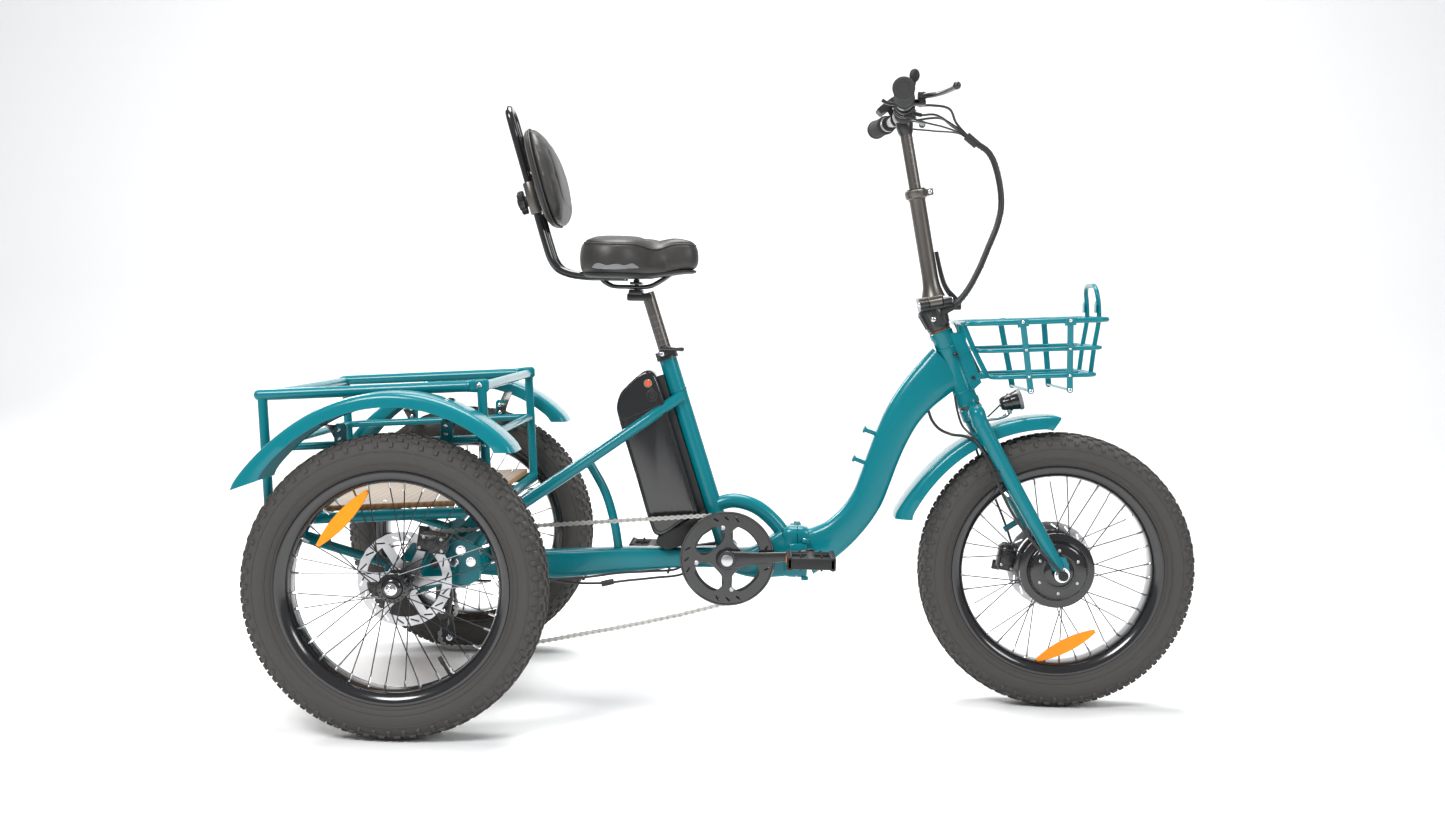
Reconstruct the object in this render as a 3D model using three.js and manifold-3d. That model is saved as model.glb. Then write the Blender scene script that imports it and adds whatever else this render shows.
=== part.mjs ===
// Electric folding adult tricycle: one fat front wheel, two fat rear wheels, a cargo tub
// between them, a folding step-through frame and a folding handlebar stem.
// Units are millimetres, +X is forward, +Y is the rider's left, +Z is up.
// Shapes are drawn with X = 0 at the rear axle and Z = 0 on the ground. The root group
// then shifts everything so that X = 0 is the middle of the overall length.
import * as THREE from "three";
import { mergeVertices } from "three/addons/utils/BufferGeometryUtils.js";
import Module from "manifold-3d";

const wasm = await Module();
wasm.setup();

// ---------------------------------------------------------------- driving dimensions
const WHEEL_RADIUS = 276; // 20 x 4.0 tyre, to the crown of the tread
const TYRE_HALF_WIDTH = 50;
const RIM_FLANGE_RADIUS = 209;
const RIM_HALF_WIDTH = 36;
const WHEEL_SIDES = 24;
const SPOKES = 36;
const WHEELBASE = 1248;
const HALF_TRACK = 375;
const AXLE_HEIGHT = WHEEL_RADIUS;
const GAP = 0.4; // clearance between pieces that rest on each other

const HEAD_TOP = [1003.5, 749]; // X and Z where the steering axis leaves the head tube
const HEAD_BOTTOM = [1066, 602];
const HEAD_TUBE_RADIUS = 21.5;
const STEERER_RADIUS = 14;
const FORK_HALF_WIDTH = 67;

const BOTTOM_BRACKET = [589, 290];
const SEAT_TUBE_TOP = [458, 687];
const SEAT_TUBE_RADIUS = 17;
const SEATPOST_RADIUS = 13;
const SEATPOST_TOP = [416.5, 813];
const RAIL_HEIGHT = 824; // the saddle's rails
const HOOP_FOOT = [232, 850]; // X and Z of the backrest hoop's straight part
const HOOP_TOP = [135, 1171];
const HOOP_HALF_WIDTH = 33;

const HINGE_X = 728; // plane where the two halves of the frame meet
const HINGE_PIN_Y = 36;
const BEAM_HALF_WIDTH = 22;
const KNUCKLE_SPANS = { rear: [[247, 272], [326, 351]], front: [[273, 325]] }; // heights
const KNUCKLE_RADIUS = 9;

const CRANK_LENGTH = 163;
const CRANK_RISE = THREE.MathUtils.degToRad(4.6);
const CHAIN_PLANE = -58;
const SPROCKET_RADII = [57, 51, 46, 40];
const SPROCKET_PITCH = 4.6;
const UPPER_PULLEY = [28, 176];
const LOWER_PULLEY = [38, 118];
const DISC_RADIUS = 88;
const REAR_DISC_Y = 305;
const FRONT_DISC_Y = 59;

const TUB_REAR = [-254, 377]; // X and Z of the tub's lower rear tube
const TUB_TILT = THREE.MathUtils.degToRad(3.7);
const TUB_LENGTH = 406;
const TUB_HEIGHT = 232;
const TUB_HALF_WIDTH = 292;
const TUB_TUBE_RADIUS = 10.5;

// Each mudguard is an arc: X and Z of its centre, its radius, and the angles of its ends.
const REAR_GUARD = { centre: [1, 333], radius: 293, halfWidth: 50, ends: [156, 41.4] };
const FRONT_GUARD = { centre: [1234, 260], radius: 327, halfWidth: 46, ends: [160, 88] };

const BASKET_REAR = [1043, 766]; // X and Z of the basket's upper rear corner
const BASKET_TILT = THREE.MathUtils.degToRad(3);

const STEM_FOOT = [990, 806]; // X and Z where the folding stem meets its base
const STEM_LEAN = THREE.MathUtils.degToRad(11);
const STEM_POST_LENGTH = 226;
const STEM_PIN_Y = -36;
const STEM_KNUCKLES = { base: [[-32, -14], [14, 32]], post: [[-13, 13]] }; // along the pin
const STEM_KNUCKLE_RADIUS = 7;
const BAR_CENTRE = [917, 1175];
const BAR_HALF_WIDTH = 330;
const BAR_STRAIGHT = 50; // the middle that runs straight across
const BAR_SWEEP = 28;
const BAR_RISE = 8;
const BAR_RADIUS = 11;

const FRONT_END = 1524; // foremost point, the front tyre
const REAR_END = -276; // rearmost point, the rear tyres

// ---------------------------------------------------------------- finishes
const TEAL = "#0c8aa0";
const paint = () => finish(TEAL, 0.28, 0.35);
const blackMetal = () => finish("#1b1c1e", 0.35, 0.6);
const blackPlastic = () => finish("#202123", 0.6, 0);
const blackRubber = () => finish("#2a2a2b", 0.85, 0);
const leatherette = () => finish("#2c2b2a", 0.5, 0);
const steel = () => finish("#b9bcc0", 0.3, 0.9);
const plywood = () => finish("#c7ab83", 0.6, 0);
const redPlastic = () => finish("#e2462a", 0.4, 0);

function finish(color, roughness, metalness) {
  return new THREE.MeshStandardMaterial({ color, roughness, metalness });
}

// ---------------------------------------------------------------- shape helpers
const vec = (x, y, z) => new THREE.Vector3(x, y, z);

// A closed geometry as a manifold solid, for joining and cutting.
function solid(geometry) {
  const bare = geometry.clone();
  bare.deleteAttribute("normal");
  bare.deleteAttribute("uv");
  const merged = mergeVertices(bare, 1e-3);
  const mesh = new wasm.Mesh({
    numProp: 3,
    vertProperties: merged.attributes.position.array,
    triVerts: new Uint32Array(merged.index.array),
  });
  return new wasm.Manifold(mesh);
}

function geometryOf(body) {
  const mesh = body.getMesh();
  const geometry = new THREE.BufferGeometry();
  geometry.setAttribute("position", new THREE.BufferAttribute(mesh.vertProperties, 3));
  geometry.setIndex(new THREE.BufferAttribute(mesh.triVerts, 1));
  geometry.computeVertexNormals();
  return geometry;
}

function join(shapes) {
  const bodies = shapes.map(solid);
  return geometryOf(bodies.reduce((sum, body) => sum.add(body)));
}

function cut(shape, tools) {
  return geometryOf(tools.map(solid).reduce((rest, tool) => rest.subtract(tool), solid(shape)));
}

// A block, given its lowest and highest corners.
function block(low, high) {
  const size = high.map((value, i) => value - low[i]);
  const middle = high.map((value, i) => (value + low[i]) / 2);
  return new THREE.BoxGeometry(...size).translate(...middle);
}

// A round bar between two points, tapering when endRadius is given.
function rod(start, end, radius, sides = 12, endRadius = radius) {
  const from = vec(...start);
  const along = vec(...end).sub(from);
  const shape = new THREE.CylinderGeometry(endRadius, radius, along.length(), sides);
  shape.translate(0, along.length() / 2, 0);
  const turn = new THREE.Quaternion().setFromUnitVectors(vec(0, 1, 0), along.normalize());
  return shape.applyQuaternion(turn).translate(...start);
}

// A disc or pin with its axis along Y.
function pinY(x, z, y1, y2, radius, sides = 24) {
  const shape = new THREE.CylinderGeometry(radius, radius, Math.abs(y2 - y1), sides);
  return shape.rotateY(Math.PI / sides).translate(x, (y1 + y2) / 2, z);
}

// A bent tube through points, swept as an extrusion.
function tube(points, radius, sides = 10, steps = 20) {
  const path = new THREE.CatmullRomCurve3(points.map((p) => vec(...p)), false, "centripetal");
  const ring = new THREE.Shape();
  for (let i = 0; i < sides; i++) {
    const angle = (i / sides) * 2 * Math.PI;
    const at = [radius * Math.cos(angle), radius * Math.sin(angle)];
    if (i === 0) ring.moveTo(...at);
    else ring.lineTo(...at);
  }
  return new THREE.ExtrudeGeometry(ring, { steps, extrudePath: path, bevelEnabled: false });
}

// A revolved solid about the Y axis. The profile is a closed loop of [y, radius].
function revolved(profile, sides = WHEEL_SIDES) {
  const points = profile.map(([y, radius]) => new THREE.Vector2(radius, y));
  const shape = new THREE.LatheGeometry([...points, points[0].clone()], sides);
  return shape.rotateY(Math.PI / sides);
}

// A side-view outline of [x, z] points, extruded between two Y values with bevelled edges.
function slab(outline, y1, y2, bevel = 0) {
  const shape = outline instanceof THREE.Shape ? outline : polygon(outline);
  const options = {
    depth: y2 - y1 - 2 * bevel,
    bevelEnabled: bevel > 0,
    bevelSize: bevel,
    bevelThickness: bevel,
    bevelOffset: -bevel,
    bevelSegments: 1,
  };
  const body = new THREE.ExtrudeGeometry(shape, options);
  return body.rotateX(Math.PI / 2).translate(0, y2 - bevel, 0);
}

function polygon(points) {
  return new THREE.Shape(points.map(([x, z]) => new THREE.Vector2(x, z)));
}

// Outline of a band that follows a centre line of [x, z, width] points.
function band(stations, samples) {
  const centre = new THREE.CatmullRomCurve3(stations.map(([x, z, width]) => vec(x, z, width)));
  const left = [];
  const right = [];
  for (let i = 0; i <= samples; i++) {
    const at = centre.getPoint(i / samples);
    const along = centre.getTangent(i / samples).setZ(0).normalize();
    left.push([at.x - (along.y * at.z) / 2, at.y + (along.x * at.z) / 2]);
    right.unshift([at.x + (along.y * at.z) / 2, at.y - (along.x * at.z) / 2]);
  }
  return [...left, ...right];
}

// A curved strip with down-turned edges, swept along its arc at a distance y from the middle.
function mudguardShell({ centre, radius, halfWidth, ends }, y) {
  const arc = new THREE.CatmullRomCurve3(
    Array.from({ length: 9 }, (_, i) => {
      const angle = THREE.MathUtils.degToRad(ends[0] + ((ends[1] - ends[0]) * i) / 8);
      return vec(centre[0] + radius * Math.cos(angle), y, centre[1] + radius * Math.sin(angle));
    }),
  );
  const side = halfWidth;
  const skin = 2.5;
  const lip = 24;
  // Drawn as [across, towards the centre].
  const half = [
    [side, lip],
    [side - 8, 0],
  ];
  const inner = [
    [side - 8 - skin, skin],
    [side - skin, lip],
  ];
  const mirror = (points) => points.map(([a, b]) => [-a, b]).reverse();
  const outline = [...half, ...mirror(half), ...mirror(inner), ...inner];
  const section = new THREE.Shape(outline.map(([a, b]) => new THREE.Vector2(a, b)));
  return new THREE.ExtrudeGeometry(section, { steps: 12, extrudePath: arc, bevelEnabled: false });
}

// Turns a shape in the XZ plane about a point, positive from +X towards +Z.
function tilted(shape, angle, [x, z]) {
  return shape.translate(-x, 0, -z).rotateY(-angle).translate(x, 0, z);
}

function addPiece(group, name, geometry, material) {
  const mesh = new THREE.Mesh(geometry, material);
  mesh.name = name;
  group.add(mesh);
}

// ---------------------------------------------------------------- derived directions
const headLength = Math.hypot(HEAD_BOTTOM[0] - HEAD_TOP[0], HEAD_BOTTOM[1] - HEAD_TOP[1]);
const headDown = [
  (HEAD_BOTTOM[0] - HEAD_TOP[0]) / headLength,
  (HEAD_BOTTOM[1] - HEAD_TOP[1]) / headLength,
];
// A point on the steering axis, s below the top of the head tube.
const onHead = (s, y = 0) => [HEAD_TOP[0] + headDown[0] * s, y, HEAD_TOP[1] + headDown[1] * s];

const seatLength = Math.hypot(
  SEAT_TUBE_TOP[0] - BOTTOM_BRACKET[0],
  SEAT_TUBE_TOP[1] - BOTTOM_BRACKET[1],
);
const seatUp = [
  (SEAT_TUBE_TOP[0] - BOTTOM_BRACKET[0]) / seatLength,
  (SEAT_TUBE_TOP[1] - BOTTOM_BRACKET[1]) / seatLength,
];
// A point in the seat tube's plane: s above the bottom bracket, back behind the tube's axis.
const onSeat = (s, back = 0, y = 0) => [
  BOTTOM_BRACKET[0] + seatUp[0] * s - seatUp[1] * back,
  y,
  BOTTOM_BRACKET[1] + seatUp[1] * s + seatUp[0] * back,
];
const sideView = ([x, , z]) => [x, z];

// A point on the folding stem: s above the stem's foot, forward of its axis.
const onStem = (s, forward = 0, y = 0) => [
  STEM_FOOT[0] - Math.sin(STEM_LEAN) * s + Math.cos(STEM_LEAN) * forward,
  y,
  STEM_FOOT[1] + Math.cos(STEM_LEAN) * s + Math.sin(STEM_LEAN) * forward,
];

// ---------------------------------------------------------------- wheels
function tyre() {
  const bead = RIM_FLANGE_RADIUS + GAP;
  const side = TYRE_HALF_WIDTH;
  const outer = [
    [-32.4, bead],
    [-side, 236],
    [-42, 265],
    [-16, WHEEL_RADIUS],
    [16, WHEEL_RADIUS],
    [42, 265],
    [side, 236],
    [32.4, bead],
  ];
  const inner = [
    [26, bead],
    [36, 254],
    [-36, 254],
    [-26, bead],
  ];
  // The radii are to the flats, so a flat rests on the ground.
  const toFlats = 1 / Math.cos(Math.PI / WHEEL_SIDES);
  return revolved([...outer, ...inner].map(([y, r]) => [y, r * toFlats]));
}

function rim() {
  const well = RIM_FLANGE_RADIUS - 9;
  const floor = RIM_FLANGE_RADIUS - 20;
  const lip = RIM_HALF_WIDTH - 3;
  const toFlats = 1 / Math.cos(Math.PI / WHEEL_SIDES);
  const profile = [
    [-lip, RIM_FLANGE_RADIUS],
    [-lip, well],
    [lip, well],
    [lip, RIM_FLANGE_RADIUS],
    [RIM_HALF_WIDTH, RIM_FLANGE_RADIUS],
    [26, floor],
    [-26, floor],
    [-RIM_HALF_WIDTH, RIM_FLANGE_RADIUS],
  ];
  return revolved(profile.map(([y, r]) => [y, r * toFlats]));
}

// Crossed spokes between two hub flanges and the rim, as three-sided wires.
function spokes(flangeY, flangeRadius, crossing) {
  const tip = RIM_FLANGE_RADIUS - 21;
  return Array.from({ length: SPOKES }, (_, i) => {
    const side = i % 2 ? 1 : -1;
    const lean = Math.floor(i / 2) % 2 ? 1 : -1;
    const outer = ((i + 0.5) / SPOKES) * 2 * Math.PI;
    const inner = outer + lean * THREE.MathUtils.degToRad(crossing);
    const y = side * (flangeY + lean * 2);
    const start = [flangeRadius * Math.cos(inner), y, flangeRadius * Math.sin(inner)];
    const end = [tip * Math.cos(outer), side * (8 + lean * 2), tip * Math.sin(outer)];
    return rod(start, end, 1.2, 3);
  });
}

// Rear hub, spokes and half shaft. inward is +1 when the bike's middle lies towards +Y.
function rearHub(inward) {
  const body = revolved(
    [
      [-34, 4],
      [-34, 17],
      [-28, 29],
      [-21, 29],
      [21, 29],
      [28, 29],
      [34, 17],
      [34, 4],
    ],
    12,
  );
  const shaft = pinY(0, 0, -inward * 62, inward * (HALF_TRACK - 4), 8.5, 12);
  const nut = pinY(0, 0, -inward * 34, -inward * 50, 12, 6);
  const discSeat = pinY(0, 0, inward * 33, inward * (HALF_TRACK - REAR_DISC_Y + 3), 15.5, 12);
  return join([body, shaft, nut, discSeat, ...spokes(24.5, 26, 48)]);
}

// Brake disc with an open spider, at Y = 0.
function brakeDisc(bore) {
  const ring = revolved(
    [
      [-1, DISC_RADIUS],
      [1, DISC_RADIUS],
      [1, bore],
      [-1, bore],
    ],
    20,
  );
  const windows = Array.from({ length: 6 }, (_, i) => {
    const angle = ((i + 0.5) / 6) * 2 * Math.PI;
    const window = slab(
      [
        [34, -8],
        [68, -26],
        [68, 26],
        [34, 8],
      ],
      -5,
      5,
    );
    return window.rotateY(angle);
  });
  return cut(ring, windows);
}

function motorHub() {
  const shell = revolved(
    [
      [-52, 8],
      [-52, 30],
      [-46, 56],
      [-29, 60],
      [-28, 74],
      [28, 74],
      [29, 60],
      [46, 50],
      [52, 19],
      [64, 19],
      [64, 8],
    ],
    18,
  );
  return join([shell, ...spokes(23, 70, 14)]);
}

function addWheel(group, suffix, x, y, hub, discY, discBore) {
  const wheel = new THREE.Group();
  wheel.position.set(x, y, AXLE_HEIGHT);
  addPiece(wheel, "tyre_" + suffix, tyre(), blackRubber());
  addPiece(wheel, "rim_" + suffix, rim(), blackMetal());
  addPiece(wheel, "hub_" + suffix, hub, blackMetal());
  addPiece(wheel, "disc_" + suffix, brakeDisc(discBore).translate(0, discY, 0), steel());
  group.add(wheel);
}

// ---------------------------------------------------------------- rear frame
function beam() {
  return slab(
    [
      [66, 238],
      [226, 233],
      [492, 262],
      [560, 262],
      [650, 244],
      [HINGE_X - 16, 248],
      [HINGE_X - 16, 349],
      [684, 330],
      [640, 306],
      [492, 301],
      [226, 289],
      [66, 297],
    ],
    -BEAM_HALF_WIDTH,
    BEAM_HALF_WIDTH,
    5,
  );
}

// Plate that carries one rear wheel's bearing, with a strut running back and up.
function axlePlate(side) {
  const inner = side * 262;
  const outer = side * 270;
  const plate = slab(
    [
      [-24, 250],
      [24, 246],
      [112, 252],
      [112, 302],
      [40, 318],
      [-16, 306],
      [-40, 290],
    ],
    Math.min(inner, outer),
    Math.max(inner, outer),
  );
  const bearing = pinY(0, AXLE_HEIGHT, side * 254, side * 284, 19, 12);
  const strut = rod([-30, side * 258, 290], [-242, side * 258, 352], 9, 6);
  return [plate, bearing, strut];
}

function rearFrame() {
  const [bbX, bbZ] = BOTTOM_BRACKET;
  const parts = [
    beam(),
    rod(onSeat(0), onSeat(seatLength), SEAT_TUBE_RADIUS, 12),
    pinY(bbX, bbZ, -35, 35, 22, 12),
    tube(
      [
        [556, 0, 388],
        [600, 0, 398],
        [645, 0, 386],
        [684, 0, 356],
        [712, 0, 318],
      ],
      15,
      8,
      7,
    ),
    // The two stays and the bend round the front of the seat tube are one tube.
    tube(
      [
        [152, -62, 370],
        [300, -58, 473],
        [446, -54, 579],
        [488, -38, 609],
        [506, 0, 622],
        [488, 38, 609],
        [446, 54, 579],
        [300, 58, 473],
        [152, 62, 370],
      ],
      10.5,
      6,
      18,
    ),
    // Cross member of the axle carrier and the two cross tubes under the tub.
    block([68, -264, 254], [106, 264, 298]),
    rod([152, -266, 372], [152, 266, 372], 10, 6),
    rod([-242, -266, 352], [-242, 266, 352], 9, 6),
    ...axlePlate(1),
    ...axlePlate(-1),
  ];
  for (const side of [-1, 1]) {
    parts.push(
      tube(
        [
          [310, side * 57, 478],
          [338, side * 54, 440],
          [360, side * 46, 380],
          [368, side * 18, 286],
        ],
        8.5,
        6,
        5,
      ),
    );
    parts.push(rod([118, side * 12, 270], [152, side * 40, 372], 9, 6));
    parts.push(rod([95, side * 258, 290], [152, side * 258, 372], 9, 6));
  }
  // Hinge block with an upper and a lower knuckle round the fold pin.
  parts.push(block([HINGE_X - 24, -30, 247], [HINGE_X - GAP, 24, 351]));
  parts.push(...foldKnuckles(true));
  // Hanger for the derailleur.
  parts.push(slab([[20, 226], [36, 226], [60, 251], [86, 259], [86, 287], [62, 281]], -106.5, -98.2));

  const bores = [
    rod(onSeat(seatLength - 300), onSeat(seatLength + 5), SEATPOST_RADIUS + 0.8, 12),
    pinY(bbX, bbZ, -40, 40, 11, 12),
    pinY(0, AXLE_HEIGHT, -290, 290, 9.8, 12),
    ...foldClearance(true),
  ];
  return cut(join(parts), bores);
}

// The fold pin's knuckles: the rear half holds the ends, the front half the middle.

function foldKnuckles(rear) {
  const reach = rear ? -12 : 12;
  return KNUCKLE_SPANS[rear ? "rear" : "front"].flatMap(([low, high]) => {
    const xs = [HINGE_X, HINGE_X + reach].sort((a, b) => a - b);
    return [
      rod([HINGE_X, HINGE_PIN_Y, low], [HINGE_X, HINGE_PIN_Y, high], KNUCKLE_RADIUS, 12),
      block([xs[0], 20, low], [xs[1], HINGE_PIN_Y, high]),
    ];
  });
}

// Room for the other half's knuckles to turn in.
function foldClearance(rear) {
  return KNUCKLE_SPANS[rear ? "front" : "rear"].map(([low, high]) =>
    rod(
      [HINGE_X, HINGE_PIN_Y, low - 0.5],
      [HINGE_X, HINGE_PIN_Y, high + 0.5],
      KNUCKLE_RADIUS + 1.4,
      12,
    ),
  );
}

// ---------------------------------------------------------------- cargo tub and mudguards
// A rectangular frame of square bar, lying flat: x from rear to front, y out to halfWidth.
function barFrame(rear, front, halfWidth, thickness, z) {
  const edge = (grow) => [
    new THREE.Vector2(rear - grow, -halfWidth - grow),
    new THREE.Vector2(front + grow, -halfWidth - grow),
    new THREE.Vector2(front + grow, halfWidth + grow),
    new THREE.Vector2(rear - grow, halfWidth + grow),
  ];
  const shape = new THREE.Shape(edge(thickness / 2));
  shape.holes.push(new THREE.Path(edge(-thickness / 2)));
  const options = { depth: thickness, bevelEnabled: false };
  return new THREE.ExtrudeGeometry(shape, options).translate(0, 0, z - thickness / 2);
}

function cargoRack() {
  const thick = TUB_TUBE_RADIUS * 2;
  const rails = [
    barFrame(0, TUB_LENGTH, TUB_HALF_WIDTH, thick, 0),
    barFrame(0, TUB_LENGTH, TUB_HALF_WIDTH, 15, TUB_HEIGHT * 0.58),
    barFrame(0, TUB_LENGTH, TUB_HALF_WIDTH, thick, TUB_HEIGHT),
  ];
  const posts = [0, TUB_LENGTH].flatMap((x) =>
    [-TUB_HALF_WIDTH, TUB_HALF_WIDTH].map((y) =>
      block([x - 9, y - 9, 0], [x + 9, y + 9, TUB_HEIGHT]),
    ),
  );
  const slats = [-100, 100].map((y) => block([0, y - 8, -8], [TUB_LENGTH, y + 8, 8]));
  const tub = join([...rails, ...posts, ...slats]);
  return tub.rotateY(-TUB_TILT).translate(TUB_REAR[0], 0, TUB_REAR[1]);
}

function cargoFloor() {
  const inset = TUB_TUBE_RADIUS + 3;
  const board = block(
    [inset, -TUB_HALF_WIDTH + inset, TUB_TUBE_RADIUS + 1],
    [TUB_LENGTH - inset, TUB_HALF_WIDTH - inset, TUB_TUBE_RADIUS + 12],
  );
  return board.rotateY(-TUB_TILT).translate(TUB_REAR[0], 0, TUB_REAR[1]);
}

// ---------------------------------------------------------------- seat
function seatCollar() {
  const ring = rod(onSeat(seatLength - 6), onSeat(seatLength + 12), 22, 12);
  const ear = block([444, -34, 688], [456, -18, 698]);
  const bore = rod(onSeat(seatLength - 10), onSeat(seatLength + 1), SEAT_TUBE_RADIUS + 0.6, 12);
  const post = rod(onSeat(seatLength - 10), onSeat(seatLength + 20), SEATPOST_RADIUS + 0.8, 12);
  return cut(join([ring, ear]), [bore, post]);
}

function seatLever() {
  return slab([[452, 699.5], [486, 697], [492, 702], [486, 707], [452, 708]], -36, -28, 2);
}


function seatpost() {
  const bottom = onSeat(seatLength - 210);
  const head = slab([[376, 797], [424, 797], [430, 808], [418, 814], [376, 814]], -17, 17, 3);
  const lowerJaw = block([378, -27, 806], [410, 27, RAIL_HEIGHT - 8.5]);
  const upperJaw = block([382, -14, 812], [406, 14, RAIL_HEIGHT + 8]);
  return join([
    rod(bottom, [SEATPOST_TOP[0], 0, SEATPOST_TOP[1]], SEATPOST_RADIUS, 12),
    head,
    lowerJaw,
    upperJaw,
  ]);
}

// Saddle pan with its two bent rails.
function saddleFrame() {
  const pan = planSolid(saddlePlan(-8), 853, 860);
  const rails = [-20, 20].map((y) =>
    tube(
      [
        [330, y, 855],
        [332, y, 834],
        [342, y, RAIL_HEIGHT],
        [416, y, RAIL_HEIGHT],
        [440, y, 834],
        [462, y, 855],
      ],
      4.5,
      6,
      9,
    ),
  );
  return join([pan, ...rails]);
}

// The saddle seen from above: wide at the back, with a rounded nose.
function saddlePlan(grow) {
  const half = [
    [278 - grow, 0],
    [284 - grow, 78 + grow],
    [318, 118 + grow],
    [372, 122 + grow],
    [418, 92 + grow],
    [448, 52 + grow],
    [484, 42 + grow],
    [512 + grow, 30 + grow],
    [521 + grow, 0],
  ];
  const loop = [...half, ...half.slice(1, -1).reverse().map(([x, y]) => [x, -y])];
  const curve = new THREE.CatmullRomCurve3(loop.map(([x, y]) => vec(x, y, 0)), true);
  return curve.getSpacedPoints(26).slice(0, -1).map((p) => [p.x, p.y]);
}

// A plan outline of [x, y] points raised between two heights.
function planSolid(outline, z1, z2, bevel = 0) {
  const options = {
    depth: z2 - z1 - 2 * bevel,
    bevelEnabled: bevel > 0,
    bevelSize: bevel,
    bevelThickness: bevel,
    bevelOffset: -bevel,
    bevelSegments: 2,
  };
  return new THREE.ExtrudeGeometry(polygon(outline), options).translate(0, 0, z1 + bevel);
}

const hoopLength = Math.hypot(HOOP_TOP[0] - HOOP_FOOT[0], HOOP_TOP[1] - HOOP_FOOT[1]);
const hoopUp = [
  (HOOP_TOP[0] - HOOP_FOOT[0]) / hoopLength,
  (HOOP_TOP[1] - HOOP_FOOT[1]) / hoopLength,
];
// A point on the backrest's upright: s above its foot, forward of its tubes.
const onHoop = (s, forward = 0, y = 0) => [
  HOOP_FOOT[0] + hoopUp[0] * s + hoopUp[1] * forward,
  y,
  HOOP_FOOT[1] + hoopUp[1] * s - hoopUp[0] * forward,
];

function backrestHoop() {
  const w = HOOP_HALF_WIDTH;
  const halfPath = (y) => [
    [372, y, 843.5],
    [290, y, 843.5],
    onHoop(-10, 26, y),
    onHoop(18, 3, y),
    onHoop(60, 0, y),
    onHoop(200, 0, y),
    onHoop(hoopLength - 20, 0, y),
  ];
  const crown = [onHoop(hoopLength - 6, 0, -w * 0.75), onHoop(hoopLength, 0, 0)];
  const path = [
    ...halfPath(-w),
    ...crown,
    onHoop(hoopLength - 6, 0, w * 0.75),
    ...halfPath(w).reverse(),
  ];
  const foot = block([352, -w, 837], [366, w, 850]);
  return join([tube(path, 8, 6, 32), foot]);
}

// Sleeves that slide on the hoop, with the plate that holds the pad.
function backrestBracket() {
  const w = HOOP_HALF_WIDTH;
  const low = 122;
  const high = 182;
  const body = slab(
    [onHoop(low, -13), onHoop(low, 13), onHoop(high, 13), onHoop(high, -13)].map(sideView),
    -w - 13,
    w + 13,
    2,
  );
  const plate = slab(
    [onHoop(110, 12), onHoop(110, 17), onHoop(210, 17), onHoop(210, 12)].map(sideView),
    -50,
    50,
  );
  const bores = [-w, w].map((y) => rod(onHoop(low - 5, 0, y), onHoop(high + 5, 0, y), 9, 12));
  return cut(join([body, plate]), bores);
}

function backrestPad() {
  const stations = [
    [...sideView(onHoop(88, 42)), 34],
    [...sideView(onHoop(130, 42)), 48],
    [...sideView(onHoop(190, 42)), 48],
    [...sideView(onHoop(250, 38)), 40],
    [...sideView(onHoop(280, 34)), 26],
  ];
  const side = slab(band(stations, 8), -118, 118, 12);
  return side;
}

function backrestKnob() {
  const at = onHoop(152, -15);
  const end = onHoop(152, -33);
  const lobes = Array.from({ length: 5 }, (_, i) => {
    const angle = (i / 5) * 2 * Math.PI;
    const y = 17 * Math.cos(angle);
    const s = 152 + 17 * Math.sin(angle);
    return rod(onHoop(s, -20, y), onHoop(s, -33, y), 8.5, 8);
  });
  return join([rod(at, end, 11, 12), ...lobes]);
}

// ---------------------------------------------------------------- battery
function batteryCase() {
  const stations = [
    [100, 29.5],
    [392, 29.5],
    [403, 42],
    [398, 70],
    [378, 106],
    [350, 125],
    [90, 129],
    [78, 120],
  ];
  const outline = stations.map(([s, back]) => sideView(onSeat(s, back)));
  const body = slab(outline, -40, 40, 8);
  const buttonWell = rod(onSeat(378, 50, -20), onSeat(378, 50, -60), 9.5, 12);
  const keyWell = rod(onSeat(352, 50, -20), onSeat(352, 50, -60), 8, 12);
  return cut(body, [buttonWell, keyWell]);
}

function batteryDock() {
  const rail = slab(
    [onSeat(96, 19), onSeat(96, 29), onSeat(384, 29), onSeat(384, 19)].map(sideView),
    -20,
    20,
  );
  const foot = slab(
    [onSeat(62, 19), onSeat(50, 112), onSeat(70, 126), onSeat(95, 29), onSeat(100, 19)].map(
      sideView,
    ),
    -38,
    38,
    3,
  );
  return cut(join([rail, foot]), [rod(onSeat(30), onSeat(400), SEAT_TUBE_RADIUS + 0.9, 12)]);
}

function batteryButton() {
  return rod(onSeat(378, 50, -26), onSeat(378, 50, -43), 8.6, 12);
}

function batteryKey() {
  const barrel = rod(onSeat(352, 50, -24), onSeat(352, 50, -42), 7.2, 12);
  const bow = slab(
    [onSeat(345, 48.5), onSeat(345, 51.5), onSeat(359, 51.5), onSeat(359, 48.5)].map(sideView),
    -52,
    -41,
  );
  return join([barrel, bow]);
}

// ---------------------------------------------------------------- drive
function chainring() {
  const [x, z] = BOTTOM_BRACKET;
  const disc = revolved(
    [
      [-4.5, 9.6],
      [-4.5, 30],
      [-8, 78],
      [-8, 93],
      [-4.5, 93],
      [-4.5, 80],
      [-1.5, 76],
      [-1.5, 82],
      [1.5, 82],
      [1.5, 9.6],
    ],
    22,
  );
  const windows = Array.from({ length: 4 }, (_, i) => {
    const window = slab([[30, -22], [62, -34], [70, 0], [62, 34], [30, 22], [25, 0]], -20, 20);
    return window.rotateY(((i + 0.5) / 4) * 2 * Math.PI);
  });
  return cut(disc, windows).translate(x, CHAIN_PLANE, z);
}

function crankSpindle() {
  const [x, z] = BOTTOM_BRACKET;
  return pinY(x, z, -88, 88, 8.6, 12);
}

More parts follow.
